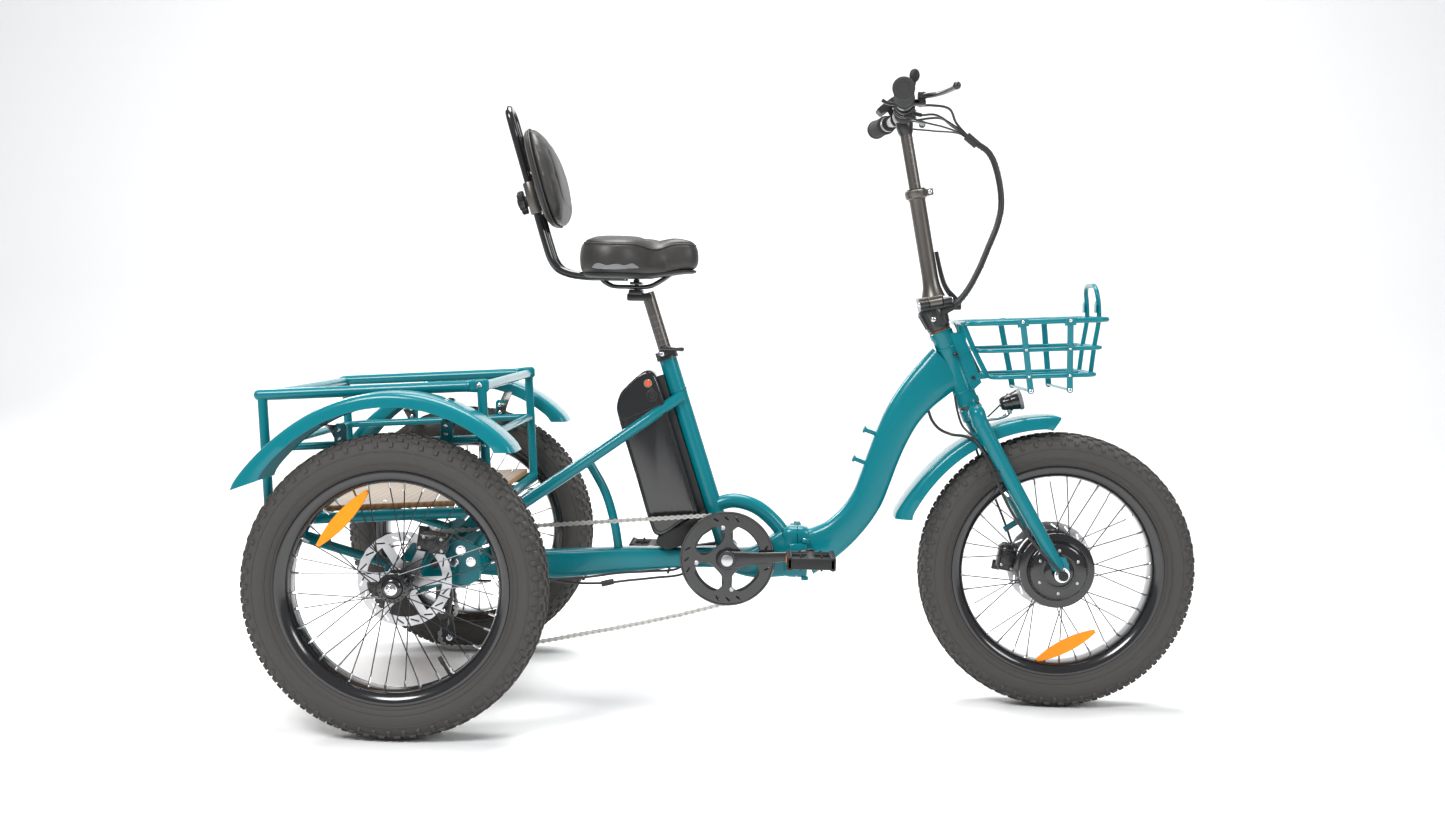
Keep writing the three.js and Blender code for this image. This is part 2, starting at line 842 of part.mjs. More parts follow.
// side is -1 for the right arm, which points forward, and +1 for the left, pointing back.
function crankArm(side) {
  const [x, z] = BOTTOM_BRACKET;
  const reach = -side * CRANK_LENGTH;
  const inner = side * 72;
  const outer = side * 87;
  const ys = [Math.min(inner, outer), Math.max(inner, outer)];
  const outline = [[0, -15], [reach, -9], [reach, 9], [0, 15]];
  const arm = slab(side < 0 ? outline : [...outline].reverse(), ...ys, 2);
  const hub = pinY(0, 0, ...ys, 19, 14);
  const eye = pinY(reach, 0, ...ys, 13, 12);
  const spindle = pinY(reach, 0, outer, side * 184, 4.5, 8);
  const bore = pinY(0, 0, side * 60, side * 100, 9.5, 12);
  const body = cut(join([arm, hub, eye, spindle]), [bore]);
  return tilted(body, CRANK_RISE, [0, 0]).translate(x, 0, z);
}

// Platform pedal round a bored barrel, at the end of its crank arm.
function pedal(side) {
  const y1 = side * 99;
  const y2 = side * 190;
  const low = Math.min(y1, y2);
  const high = Math.max(y1, y2);
  const body = block([-47, low, -13], [47, high, 13]);
  const windows = [-1, 1].map((way) => {
    const xs = [way * 13, way * 38].sort((a, b) => a - b);
    return block([xs[0], low + 10, -20], [xs[1], high - 10, 20]);
  });
  const bore = pinY(0, 0, side * 90, side * 186, 5.4, 12);
  const reach = -side * CRANK_LENGTH;
  const [x, z] = BOTTOM_BRACKET;
  return cut(body, [...windows, bore]).translate(
    x + reach * Math.cos(CRANK_RISE),
    0,
    z + reach * Math.sin(CRANK_RISE),
  );
}


function cassette() {
  const start = CHAIN_PLANE + 2 * SPROCKET_PITCH;
  const profile = [[start + 2, 10]];
  SPROCKET_RADII.forEach((radius, i) => {
    const y = start - i * SPROCKET_PITCH;
    profile.push([y + 0.8, radius], [y - 0.8, radius]);
    if (i < SPROCKET_RADII.length - 1) {
      profile.push([y - 0.8, 26], [y - SPROCKET_PITCH + 0.8, 26]);
    }
  });
  const last = start - (SPROCKET_RADII.length - 1) * SPROCKET_PITCH;
  profile.push([last - 4, 20], [last - 4, 10]);
  return revolved(profile.reverse(), 16).translate(0, 0, AXLE_HEIGHT);
}


function derailleurBody() {
  const y = CHAIN_PLANE - 22;
  const link = slab([[20, 236], [40, 238], [44, 200], [36, 168], [18, 168], [16, 200]], y - 8, y);
  const upper = pinY(30, 232, y - 17.6, y, 9, 12);
  const lower = pinY(...UPPER_PULLEY, y - 12, y + 4, 10, 12);
  return join([link, upper, lower]);
}

// Cage plate with its two jockey wheels.
function derailleurCage() {
  const y = CHAIN_PLANE;
  const plate = slab(band([[...UPPER_PULLEY, 24], [33, 147, 20], [...LOWER_PULLEY, 24]], 4),
    y - 12, y - 9);
  const wheels = [UPPER_PULLEY, LOWER_PULLEY].flatMap(([x, z]) => [
    pinY(x, z, y - 12, y - 3, 5, 8),
    pinY(x, z, y - 4, y + 4, 17, 12),
  ]);
  return join([plate, ...wheels]);
}

// The chain as one closed band round the chainring, a sprocket and the jockey wheels.
function chain() {
  const arc = (x, z, radius, from, to, count) =>
    Array.from({ length: count + 1 }, (_, i) => {
      const angle = THREE.MathUtils.degToRad(from + ((to - from) * i) / count);
      return vec(x + radius * Math.cos(angle), z + radius * Math.sin(angle), 0);
    });
  const line = [
    ...arc(...BOTTOM_BRACKET, 87.5, -78, 94, 9),
    ...arc(0, AXLE_HEIGHT, 51.5, 94, 318, 9),
    ...arc(...UPPER_PULLEY, 22, 20, -30, 2),
    ...arc(...LOWER_PULLEY, 22, 150, 280, 5),
    vec(218, 112, 0),
    vec(400, 150, 0),
  ];
  const half = 4;
  const count = line.length;
  const side = (sign) =>
    line.map((point, i) => {
      const along = line[(i + 1) % count].clone().sub(line[(i + count - 1) % count]).normalize();
      return new THREE.Vector2(point.x + sign * along.y * half, point.y - sign * along.x * half);
    });
  const shape = new THREE.Shape(side(1));
  shape.holes.push(new THREE.Path(side(-1)));
  return slab(shape, CHAIN_PLANE - 3, CHAIN_PLANE + 3);
}

// Two-piston caliper that straddles a disc. (x, z) is its middle, y the disc's plane.
function caliper(x, y, z, angle, outward) {
  const body = block([-24, -15, -15], [24, 15, 20]);
  const slot = block([-40, -2.4, -40], [40, 2.4, 6]);
  const arm = block([-10, Math.min(0, -outward * 34), 8], [10, Math.max(0, -outward * 34), 18]);
  const shape = cut(join([body, arm]), [slot]);
  return tilted(shape, angle, [0, 0]).translate(x, y, z);
}

// ---------------------------------------------------------------- front frame
function frontFrame() {
  const main = slab(
    band(
      [
        [HINGE_X + 24, 302, 88],
        [798, 327, 70],
        [845, 373, 64],
        [878, 430, 62],
        [897, 490, 64],
        [920, 553, 68],
        [956, 616, 78],
        [1010, 674, 92],
      ],
      10,
    ),
    -24,
    24,
    8,
  );
  const studs = [
    [844, 487],
    [864, 546],
  ].map(([x, z]) => rod([x + 22, 0, z - 6], [x, 0, z + 2], 4, 6));
  // Bracket that holds the basket in front of the head tube.
  const bracket = slab(
    [[14, 18], [130, 18], [118, 36], [20, 36]].map(([s, forward]) => {
      const [x, , z] = onHead(s);
      return [x - headDown[1] * forward, z + headDown[0] * forward];
    }),
    -16,
    16,
  );
  const latchLugs = [
    block([HINGE_X + 9, -42, 247], [HINGE_X + 23, -28, 253]),
    block([HINGE_X + 9, -42, 320.5], [HINGE_X + 23, -28, 327]),
  ];
  const shape = join([
    main,
    rod(onHead(0), onHead(headLength), HEAD_TUBE_RADIUS, 14),
    ...studs,
    bracket,
    block([HINGE_X + GAP, -30, 247], [HINGE_X + 24, 24, 351]),
    ...foldKnuckles(false),
    ...latchLugs,
  ]);
  const bore = rod(onHead(-20), onHead(headLength + 20), STEERER_RADIUS + 3, 12);
  return cut(shape, [bore, ...foldClearance(false)]);
}

function frameLatch() {
  const plate = slab(
    [[HINGE_X - 14, 255], [HINGE_X + 18, 254.5], [HINGE_X + 18, 319.5], [HINGE_X - 10, 319]],
    -41,
    -32,
    2,
  );
  return plate;
}

// Basket in its own frame: x forward from the upper rear corner, z up from the top rail.
function basket() {
  const wire = 9;
  const levels = [
    { z: 0, rear: 0, front: 268, half: 138 },
    { z: -54, rear: 24, front: 256, half: 126 },
    { z: -106, rear: 46, front: 246, half: 112 },
  ];
  const parts = levels.map(({ z, rear, front, half }) => barFrame(rear, front, half, wire, z));
  const [top, , bottom] = levels;
  const strip = 4;
  for (const x of [114, 196]) {
    for (const side of [-1, 1]) {
      const upper = [x, side * top.half, 0];
      const lower = [x, side * bottom.half, bottom.z - strip];
      parts.push(rod(upper, lower, strip + 2, 4));
    }
    parts.push(block([x - 4, -bottom.half, bottom.z - 8], [x + 4, bottom.half, bottom.z]));
  }
  const hoop = { x: 262, z: 62, half: 56 };
  for (const y of [-hoop.half, hoop.half]) {
    parts.push(block([bottom.rear, y - 4, bottom.z - 4], [bottom.front, y + 4, bottom.z + 4]));
    parts.push(rod([top.rear, y, 0], [bottom.rear, y, bottom.z], 5, 4));
    parts.push(rod([hoop.x, y, hoop.z + 4], [bottom.front, y, bottom.z], 5, 4));
  }
  parts.push(block([hoop.x - 4, -hoop.half, hoop.z - 4], [hoop.x + 4, hoop.half, hoop.z + 4]));
  return join(parts).rotateY(-BASKET_TILT).translate(BASKET_REAR[0], 0, BASKET_REAR[1]);
}

// ---------------------------------------------------------------- fork and stem
function fork() {
  const crownLevel = headLength + 18;
  const [crownX, , crownZ] = onHead(crownLevel);
  const parts = [
    rod(onHead(-44), onHead(crownLevel), STEERER_RADIUS, 12),
    rod(onHead(headLength + 2), onHead(crownLevel + 12), 21, 12),
    rod([crownX, -FORK_HALF_WIDTH, crownZ], [crownX, FORK_HALF_WIDTH, crownZ], 15, 8),
  ];
  for (const side of [-1, 1]) {
    const top = [crownX, side * FORK_HALF_WIDTH, crownZ];
    const foot = [WHEELBASE, side * (FORK_HALF_WIDTH + 7), AXLE_HEIGHT];
    parts.push(rod(top, foot, 16, 8, 8));
    parts.push(new THREE.SphereGeometry(17, 8, 4).translate(...top));
    parts.push(pinY(WHEELBASE, AXLE_HEIGHT, side * 69, side * 79, 15, 12));
  }
  const axleHole = pinY(WHEELBASE, AXLE_HEIGHT, -120, 120, 7.6, 12);
  const nutRoom = [-1, 1].map((side) =>
    pinY(WHEELBASE, AXLE_HEIGHT, side * 80, side * 100, 22, 12),
  );
  return cut(join(parts), [axleHole, ...nutRoom]);
}

function frontAxle() {
  const nuts = [-1, 1].map((side) => pinY(WHEELBASE, AXLE_HEIGHT, side * 80.6, side * 94, 12, 6));
  return join([pinY(WHEELBASE, AXLE_HEIGHT, -96, 96, 6.8, 12), ...nuts]);
}

function stemBase() {
  const body = rod(onHead(-4), onHead(-50), 26, 12);
  const plate = block([-32, -30, -14], [32, 30, -GAP]).rotateY(-STEM_LEAN);
  plate.translate(STEM_FOOT[0], 0, STEM_FOOT[1]);
  const bore = rod(onHead(10), onHead(-46), STEERER_RADIUS + 0.8, 12);
  return cut(join([body, plate, ...stemKnuckles(true)]), [bore, ...stemClearance(true)]);
}

// Knuckles of the stem's fold pin, along the right edge of the two plates.

function stemKnuckles(base) {
  return STEM_KNUCKLES[base ? "base" : "post"].flatMap(([rear, front]) => {
    const zs = base ? [-12, 0] : [0, 12];
    const arm = block([rear, STEM_PIN_Y, zs[0]], [front, -26, zs[1]]).rotateY(-STEM_LEAN);
    return [
      rod(onStem(0, rear, STEM_PIN_Y), onStem(0, front, STEM_PIN_Y), STEM_KNUCKLE_RADIUS, 12),
      arm.translate(STEM_FOOT[0], 0, STEM_FOOT[1]),
    ];
  });
}

function stemClearance(base) {
  return STEM_KNUCKLES[base ? "post" : "base"].map(([rear, front]) =>
    rod(
      onStem(0, rear - 0.5, STEM_PIN_Y),
      onStem(0, front + 0.5, STEM_PIN_Y),
      STEM_KNUCKLE_RADIUS + 1,
      12,
    ),
  );
}

function stemPost() {
  const plate = block([-32, -30, GAP], [17, 30, 13]).rotateY(-STEM_LEAN);
  plate.translate(STEM_FOOT[0], 0, STEM_FOOT[1]);
  const parts = [
    plate,
    rod(onStem(10), onStem(STEM_POST_LENGTH), 16, 12),
    rod(onStem(STEM_POST_LENGTH - 16), onStem(STEM_POST_LENGTH), 22, 12),
    ...stemKnuckles(false),
  ];
  const bore = rod(onStem(60), onStem(STEM_POST_LENGTH + 5), 12.9, 12);
  return cut(join(parts), [bore, ...stemClearance(false)]);
}

// Long lever that locks the stem upright, in front of the post.
function stemLatch() {
  const stations = [
    [...sideView(onStem(-8, 46)), 12],
    [...sideView(onStem(26, 37)), 9],
    [...sideView(onStem(64, 25)), 8],
    [...sideView(onStem(98, 24)), 6],
  ];
  return slab(band(stations, 6), -11, 11, 1.5);
}

function postLever() {
  const s = STEM_POST_LENGTH - 8;
  return slab(
    [onStem(s - 5, -16), onStem(s - 5, 30), onStem(s + 5, 30), onStem(s + 5, -16)].map(sideView),
    23,
    32,
    2,
  );
}

// A point on the bar's centre line: straight in the middle, then swept back and up a little.
function onBar(y) {
  const [cx, cz] = BAR_CENTRE;
  const out = Math.max(0, Math.abs(y) - BAR_STRAIGHT) / (BAR_HALF_WIDTH - BAR_STRAIGHT);
  return [cx - BAR_SWEEP * out, y, cz + BAR_RISE * out];
}

// A ring round the bar between two stations, with room to turn on it.
function barRing(y1, y2, radius) {
  const ring = rod(onBar(y1), onBar(y2), radius, 12);
  return cut(ring, [rod(onBar(y1 - 20), onBar(y2 + 20), BAR_RADIUS + 1.4, 12)]);
}

// Telescoping upper tube, the bar clamp, the bar and its grips.
function handlebar() {
  const [cx, cz] = BAR_CENTRE;
  const parts = [
    rod(onStem(148), [cx, 0, cz], 12, 12),
    pinY(cx, cz, -24, 24, 20, 12),
    rod(onBar(-BAR_STRAIGHT), onBar(BAR_STRAIGHT), BAR_RADIUS, 8),
  ];
  for (const side of [-1, 1]) {
    const at = (y) => onBar(side * y);
    parts.push(rod(at(BAR_STRAIGHT - 1), at(BAR_HALF_WIDTH), BAR_RADIUS, 8));
    parts.push(rod(at(212), at(BAR_HALF_WIDTH + 3), 16.5, 10));
    // Clamp of a brake lever, with the lug that its blade pivots on.
    parts.push(rod(at(170), at(190), 16, 10));
    const [x, y, z] = at(180);
    parts.push(block([x, y - 8, z - 6], [x + 40, y + 8, z + 4]));
  }
  return join(parts);
}

function brakeLever(side) {
  const [x, y, z] = onBar(side * 180);
  const path = [
    [x + 32, y, z + 11],
    [x + 56, y + side * 25, z + 11],
    [x + 74, y + side * 70, z + 12],
    [x + 82, y + side * 120, z + 14],
  ];
  const end = new THREE.SphereGeometry(8, 6, 4).translate(x + 82, y + side * 122, z + 14);
  const pivot = rod([x + 32, y, z + 4.6], [x + 32, y, z + 18], 8, 8);
  return join([tube(path, 5.5, 6, 6), end, pivot]);
}

function throttle() {
  const [x, y, z] = onBar(-148);
  const paddle = slab([[-16, -4], [-40, -2], [-44, 6], [-38, 8], [-16, 5]], -7, 7, 2);
  return join([barRing(-155, -141, 19), paddle.translate(x, y, z)]);
}

function shifterLever() {
  const [x, y, z] = onBar(-118);
  const stalk = rod([x + 10, y, z + 14], [x + 16, y - 10, z + 52], 3.5, 6);
  const paddle = new THREE.SphereGeometry(10, 8, 4).scale(1, 0.5, 1.3);
  return join([barRing(-124, -112, 20), stalk, paddle.translate(x + 16, y - 11, z + 58)]);
}

function display() {
  const [x, y, z] = onBar(63);
  const screen = tilted(block([-8, -34, -24], [6, 34, 24]), -0.66, [0, 0]);
  const arm = rod([x - 14, y, z + 8], [x - 22, y, z + 20], 6, 8);
  return join([barRing(56, 70, 18), screen.translate(x - 26, y, z + 25), arm]);
}

function headlight() {
  const axis = THREE.MathUtils.degToRad(16);
  const body = new THREE.CylinderGeometry(20, 17, 40, 14).rotateZ(-Math.PI / 2);
  const lamp = tilted(body, axis, [0, 0]).translate(1150, 0, 612);
  const stalk = rod([1146, 0, 602], [1104, 0, 596], 5, 8);
  return join([lamp, stalk]);
}

// ---------------------------------------------------------------- assembly
const root = new THREE.Group();
root.position.x = -(FRONT_END + REAR_END) / 2;

const rear = new THREE.Group();
addPiece(rear, "rear_frame", rearFrame(), paint());
addPiece(rear, "cargo_rack", cargoRack(), paint());
addPiece(rear, "cargo_floor", cargoFloor(), plywood());
addPiece(rear, "mudguard_rear_right", mudguardShell(REAR_GUARD, -HALF_TRACK), paint());
addPiece(rear, "mudguard_rear_left", mudguardShell(REAR_GUARD, HALF_TRACK), paint());
for (const [suffix, side] of [["right", -1], ["left", 1]]) {
  const name = "brake_caliper_rear_" + suffix;
  const shape = caliper(54, side * REAR_DISC_Y, AXLE_HEIGHT + 66, -0.68, side);
  addPiece(rear, name, shape, blackMetal());
}
addPiece(rear, "chain", chain(), steel());
root.add(rear);

addWheel(root, "rear_right", 0, -HALF_TRACK, rearHub(1), HALF_TRACK - REAR_DISC_Y, 17);
addWheel(root, "rear_left", 0, HALF_TRACK, rearHub(-1), REAR_DISC_Y - HALF_TRACK, 17);

const drive = new THREE.Group();
addPiece(drive, "chainring", chainring(), blackMetal());
addPiece(drive, "crank_spindle", crankSpindle(), steel());
addPiece(drive, "crank_arm_right", crankArm(-1), blackMetal());
addPiece(drive, "crank_arm_left", crankArm(1), blackMetal());
addPiece(drive, "pedal_right", pedal(-1), blackPlastic());
addPiece(drive, "pedal_left", pedal(1), blackPlastic());
addPiece(drive, "cassette", cassette(), blackMetal());
addPiece(drive, "derailleur_body", derailleurBody(), blackMetal());
addPiece(drive, "derailleur_cage", derailleurCage(), blackMetal());
root.add(drive);

const seat = new THREE.Group();
addPiece(seat, "seat_collar", seatCollar(), blackMetal());
addPiece(seat, "seat_lever", seatLever(), blackMetal());
addPiece(seat, "seatpost", seatpost(), blackMetal());
addPiece(seat, "saddle_frame", saddleFrame(), blackMetal());
addPiece(seat, "saddle_cushion", planSolid(saddlePlan(-2), 860.6, 918, 12), leatherette());
addPiece(seat, "backrest_hoop", backrestHoop(), blackMetal());
addPiece(seat, "backrest_bracket", backrestBracket(), blackMetal());
addPiece(seat, "backrest_pad", backrestPad(), leatherette());
addPiece(seat, "backrest_knob", backrestKnob(), blackPlastic());
root.add(seat);

const power = new THREE.Group();
addPiece(power, "battery_case", batteryCase(), blackPlastic());
addPiece(power, "battery_dock", batteryDock(), blackPlastic());
addPiece(power, "battery_button", batteryButton(), redPlastic());
addPiece(power, "battery_key", batteryKey(), steel());
root.add(power);

const front = new THREE.Group();
addPiece(front, "front_frame", frontFrame(), paint());
addPiece(front, "frame_latch", frameLatch(), paint());
addPiece(front, "basket", basket(), paint());
addPiece(front, "fork", fork(), paint());
addPiece(front, "front_axle", frontAxle(), steel());
addPiece(front, "mudguard_front", mudguardShell(FRONT_GUARD, 0), paint());
addPiece(front, "headlight", headlight(), blackPlastic());
const frontCaliper = caliper(WHEELBASE - 84, FRONT_DISC_Y, AXLE_HEIGHT + 14, 1.4, -1);
addPiece(front, "brake_caliper_front", frontCaliper, blackMetal());
addPiece(front, "stem_base", stemBase(), blackMetal());
addPiece(front, "stem_post", stemPost(), blackMetal());
addPiece(front, "stem_latch", stemLatch(), blackMetal());
addPiece(front, "post_lever", postLever(), blackMetal());
addPiece(front, "handlebar", handlebar(), blackMetal());
addPiece(front, "brake_lever_right", brakeLever(-1), blackMetal());
addPiece(front, "brake_lever_left", brakeLever(1), blackMetal());
addPiece(front, "throttle", throttle(), blackPlastic());
addPiece(front, "shifter_lever", shifterLever(), blackPlastic());
addPiece(front, "display", display(), blackPlastic());
root.add(front);
addWheel(root, "front", WHEELBASE, 0, motorHub(), FRONT_DISC_Y, 20);

export default root;
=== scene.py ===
import math

import bmesh
import bpy
import numpy as np
from mathutils import Matrix, Vector
from mathutils.bvhtree import BVHTree


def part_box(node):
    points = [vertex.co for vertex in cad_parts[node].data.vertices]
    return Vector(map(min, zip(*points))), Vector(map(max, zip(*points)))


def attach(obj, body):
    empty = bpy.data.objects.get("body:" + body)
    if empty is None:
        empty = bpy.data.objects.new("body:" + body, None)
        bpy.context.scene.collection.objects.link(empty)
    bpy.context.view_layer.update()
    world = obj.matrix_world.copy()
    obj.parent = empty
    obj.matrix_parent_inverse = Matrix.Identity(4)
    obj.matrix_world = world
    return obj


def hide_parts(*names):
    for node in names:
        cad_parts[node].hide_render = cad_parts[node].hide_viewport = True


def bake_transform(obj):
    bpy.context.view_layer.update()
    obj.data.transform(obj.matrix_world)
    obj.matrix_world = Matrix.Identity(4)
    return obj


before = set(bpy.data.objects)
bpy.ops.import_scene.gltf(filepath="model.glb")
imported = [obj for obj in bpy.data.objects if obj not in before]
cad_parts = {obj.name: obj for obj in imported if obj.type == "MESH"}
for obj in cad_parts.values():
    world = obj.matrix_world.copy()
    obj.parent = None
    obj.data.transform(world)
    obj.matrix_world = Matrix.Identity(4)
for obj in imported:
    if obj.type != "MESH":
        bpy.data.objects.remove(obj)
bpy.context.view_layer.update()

# Lengths below are millimetres with X measured from the rear axle, unless a name says otherwise.
tyre_low, tyre_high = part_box("tyre_rear_right")
AXLE_X = (tyre_low.x + tyre_high.x) / 2
AXLE_Z = (tyre_high.z + tyre_low.z) / 2 * 1000
WHEELBASE = 1248
TRACK = 375
X = Vector((1, 0, 0))
Y = Vector((0, 1, 0))
Z = Vector((0, 0, 1))


def at(x, y, z):
    """A point given in millimetres, as a position in the row frame."""
    return Vector((AXLE_X + x / 1000, y / 1000, z / 1000))


# ---------------------------------------------------------------- materials
def node(tree, kind, **values):
    made = tree.nodes.new(kind)
    for key, value in values.items():
        if key in made.inputs:
            made.inputs[key].default_value = value
        else:
            setattr(made, key, value)
    return made


def material(name, color, rough, metal=0.0, coat=0.0, vary=0.12, grain=400.0, bump=0.1,
             scale=(1, 1, 1), pattern="noise", spec=0.5, painted_top_light=0.0, transmission=0.0):
    """A principled material whose colour, roughness and surface all vary with a fine pattern."""
    made = bpy.data.materials.new(name)
    made.use_nodes = True
    tree = made.node_tree
    link = tree.links.new
    shader = tree.nodes["Principled BSDF"]
    where = node(tree, "ShaderNodeTexCoord")
    stretch = node(tree, "ShaderNodeMapping")
    stretch.inputs["Scale"].default_value = scale
    link(where.outputs["Object"], stretch.inputs["Vector"])
    broad = node(tree, "ShaderNodeTexNoise", Scale=9.0, Detail=6.0, Roughness=0.6)
    link(stretch.outputs["Vector"], broad.inputs["Vector"])
    if pattern == "cells":
        fine = node(tree, "ShaderNodeTexVoronoi", Scale=grain, feature="DISTANCE_TO_EDGE")
        height = fine.outputs["Distance"]
    else:
        fine = node(tree, "ShaderNodeTexNoise", Scale=grain, Detail=3.0, Roughness=0.55)
        height = fine.outputs["Fac"]
    link(stretch.outputs["Vector"], fine.inputs["Vector"])
    tint = node(tree, "ShaderNodeMix", data_type="RGBA")
    low = [c * (1 - vary) for c in color]
    high = [min(1.0, c * (1 + vary) + 0.002) for c in color]
    tint.inputs["A"].default_value = (*low, 1)
    tint.inputs["B"].default_value = (*high, 1)
    link(broad.outputs["Fac"], tint.inputs["Factor"])
    shade = tint.outputs["Result"]
    # Painted highlight: faces turned upwards are blended towards pale grey, as if lit from above.
    if painted_top_light:
        up = node(tree, "ShaderNodeNewGeometry")
        split = node(tree, "ShaderNodeSeparateXYZ")
        link(up.outputs["Normal"], split.inputs["Vector"])
        ramp = node(tree, "ShaderNodeMapRange")
        ramp.inputs["From Min"].default_value = 0.2
        ramp.inputs["To Max"].default_value = painted_top_light
        link(split.outputs["Z"], ramp.inputs["Value"])
        lit_top = node(tree, "ShaderNodeMix", data_type="RGBA")
        lit_top.inputs["B"].default_value = (0.35, 0.34, 0.32, 1)
        link(ramp.outputs["Result"], lit_top.inputs["Factor"])
        link(shade, lit_top.inputs["A"])
        shade = lit_top.outputs["Result"]
    link(shade, shader.inputs["Base Color"])
    rub = node(tree, "ShaderNodeMapRange")
    rub.inputs["To Min"].default_value = max(0.03, rough * 0.8)
    rub.inputs["To Max"].default_value = min(1.0, rough * 1.2)
    link(broad.outputs["Fac"], rub.inputs["Value"])
    link(rub.outputs["Result"], shader.inputs["Roughness"])
    relief = node(tree, "ShaderNodeBump", Strength=bump, Distance=0.0006)
    link(height, relief.inputs["Height"])
    link(relief.outputs["Normal"], shader.inputs["Normal"])
    for socket, value in (("Metallic", metal), ("Coat Weight", coat), ("Coat Roughness", 0.06),
                          ("Specular IOR Level", spec), ("Transmission Weight", transmission)):
        shader.inputs[socket].default_value = value
    return made


def plywood(name, light, dark):
    """Wood with long grain lines along Y."""
    made = material(name, light, 0.5, vary=0.1, grain=90, bump=0.15, scale=(9, 0.7, 9))
    tree = made.node_tree
    rings = node(tree, "ShaderNodeTexWave", Scale=2.4, Distortion=5.0, Detail=3.0)
    stretch = next(n for n in tree.nodes if n.type == "MAPPING")
    tree.links.new(stretch.outputs["Vector"], rings.inputs["Vector"])
    mix = next(n for n in tree.nodes if n.type == "MIX")
    mix.inputs["A"].default_value = (*dark, 1)
    tree.links.new(rings.outputs["Fac"], mix.inputs["Factor"])
    return made


PAINT = material("teal_gloss_paint", (0, 0.158, 0.19), 0.22, coat=0.2, vary=0.06, bump=0.03,
                 spec=0.25)
SATIN = material("satin_black_metal", (0.012, 0.012, 0.013), 0.34, coat=0.25, bump=0.06)
GLOSS = material("gloss_black_metal", (0.01, 0.01, 0.011), 0.18, coat=0.5, bump=0.03)
PLASTIC = material("moulded_black_plastic", (0.014, 0.014, 0.0145), 0.5, grain=900, bump=0.2, spec=0.35)
RUBBER = material("grip_rubber", (0.022, 0.022, 0.022), 0.75, grain=1400, bump=0.3)
# The tyre carries a faint painted highlight on its upward-facing surfaces.
TYRE = material("tyre_rubber", (0.052, 0.0485, 0.0455), 0.72, grain=700, bump=0.4, painted_top_light=0.06, spec=0.35)
LEATHER = material(
    "black_leatherette", (0.024, 0.0222, 0.0205), 0.44, pattern="cells", grain=420, bump=0.2, spec=0.5
)
PIPING = material("seam_piping", (0.03, 0.03, 0.03), 0.5, pattern="cells", grain=600, bump=0.2)
GUNMETAL = material("gunmetal_anodising", (0.14, 0.129, 0.118), 0.34, metal=0.85, bump=0.05)
STEEL = material(
    "brushed_steel", (0.55, 0.55, 0.56), 0.3, metal=1, grain=160, bump=0.12, scale=(1, 12, 1)
)
CHROME = material("bright_plating", (0.78, 0.78, 0.8), 0.12, metal=1, vary=0.04, bump=0.02)
DARK_STEEL = material("blackened_steel", (0.06, 0.06, 0.062), 0.34, metal=1, vary=0.3)
CHAIN_STEEL = material("oiled_chain_steel", (0.46, 0.45, 0.43), 0.3, metal=1, vary=0.3)
CABLE = material("cable_sleeve", (0.014, 0.014, 0.015), 0.42, grain=1800, bump=0.15)
GREY = material("grey_plastic", (0.2, 0.2, 0.205), 0.45, grain=900, bump=0.15)
BOARD = plywood("plywood_face", (0.3, 0.245, 0.195), (0.275, 0.22, 0.17))
BOARD_EDGE = plywood("plywood_edge", (0.5, 0.22, 0.075), (0.4, 0.16, 0.05))
RED = material("red_orange_plastic", (0.75, 0.09, 0.02), 0.3, coat=0.3, vary=0.08, bump=0.05)
AMBER = material(
    "amber_reflector", (0.92, 0.27, 0.002), 0.3, pattern="cells", grain=260, bump=0.8, spec=0.3
)
RED_LENS = material(
    "red_reflector", (0.5, 0.01, 0.01), 0.15, coat=0.6, pattern="cells", grain=300, bump=0.6
)
LENS = material(
    "clear_lens", (0.9, 0.92, 0.95), 0.06, pattern="cells", grain=240, bump=0.5, transmission=0.7
)
SCREEN = material("dark_screen", (0.012, 0.014, 0.018), 0.08, coat=0.8, vary=0.2, bump=0.01)
COPPER = material("bearing_race", (0.22, 0.07, 0.035), 0.35, metal=0.7, vary=0.2)


# ---------------------------------------------------------------- curves and sections
def through(points, per=6):
    """Points along a smooth centripetal curve through the given positions."""
    if len(points) == 2:
        return list(points)
    ends = [points[0] * 2 - points[1], *points, points[-1] * 2 - points[-2]]
    out = []
    for a, b, c, d in zip(ends, ends[1:], ends[2:], ends[3:]):
        t1 = max((b - a).length, 1e-6) ** 0.5
        t2 = t1 + max((c - b).length, 1e-6) ** 0.5
        t3 = t2 + max((d - c).length, 1e-6) ** 0.5
        for k in range(per):
            t = t1 + (t2 - t1) * k / per
            p = a.lerp(b, t / t1)
            q = b.lerp(c, (t - t1) / (t2 - t1))
            r = c.lerp(d, (t - t2) / (t3 - t2))
            u = p.lerp(q, t / t2)
            v = q.lerp(r, (t - t1) / (t3 - t1))
            out.append(u.lerp(v, (t - t1) / (t2 - t1)))
    out.append(points[-1].copy())
    return out


def polar(radius, angle):
    return (radius * math.cos(angle), radius * math.sin(angle))


def circle(radius, sides):
    return [polar(radius, 2 * math.pi * i / sides) for i in range(sides)]


def oval(half_u, half_v, sides=28, power=2.0):
    """A superellipse: power 2 is an ellipse, larger powers are squarer."""
    out = []
    for i in range(sides):
        a = 2 * math.pi * i / sides
        c, s = math.cos(a), math.sin(a)
        u = math.copysign(abs(c) ** (2 / power), c) * half_u
        out.append((u, math.copysign(abs(s) ** (2 / power), s) * half_v))
    return out


def rounded(width, height, corner, steps=3):
    """A rectangle with rounded corners, centred on the origin."""
    out = []
    for sx, sy, first in ((1, 1, 0), (-1, 1, 90), (-1, -1, 180), (1, -1, 270)):
        for k in range(steps + 1):
            a = math.radians(first + 90 * k / steps)
            u = sx * (width / 2 - corner) + corner * math.cos(a)
            out.append((u, sy * (height / 2 - corner) + corner * math.sin(a)))
    return out


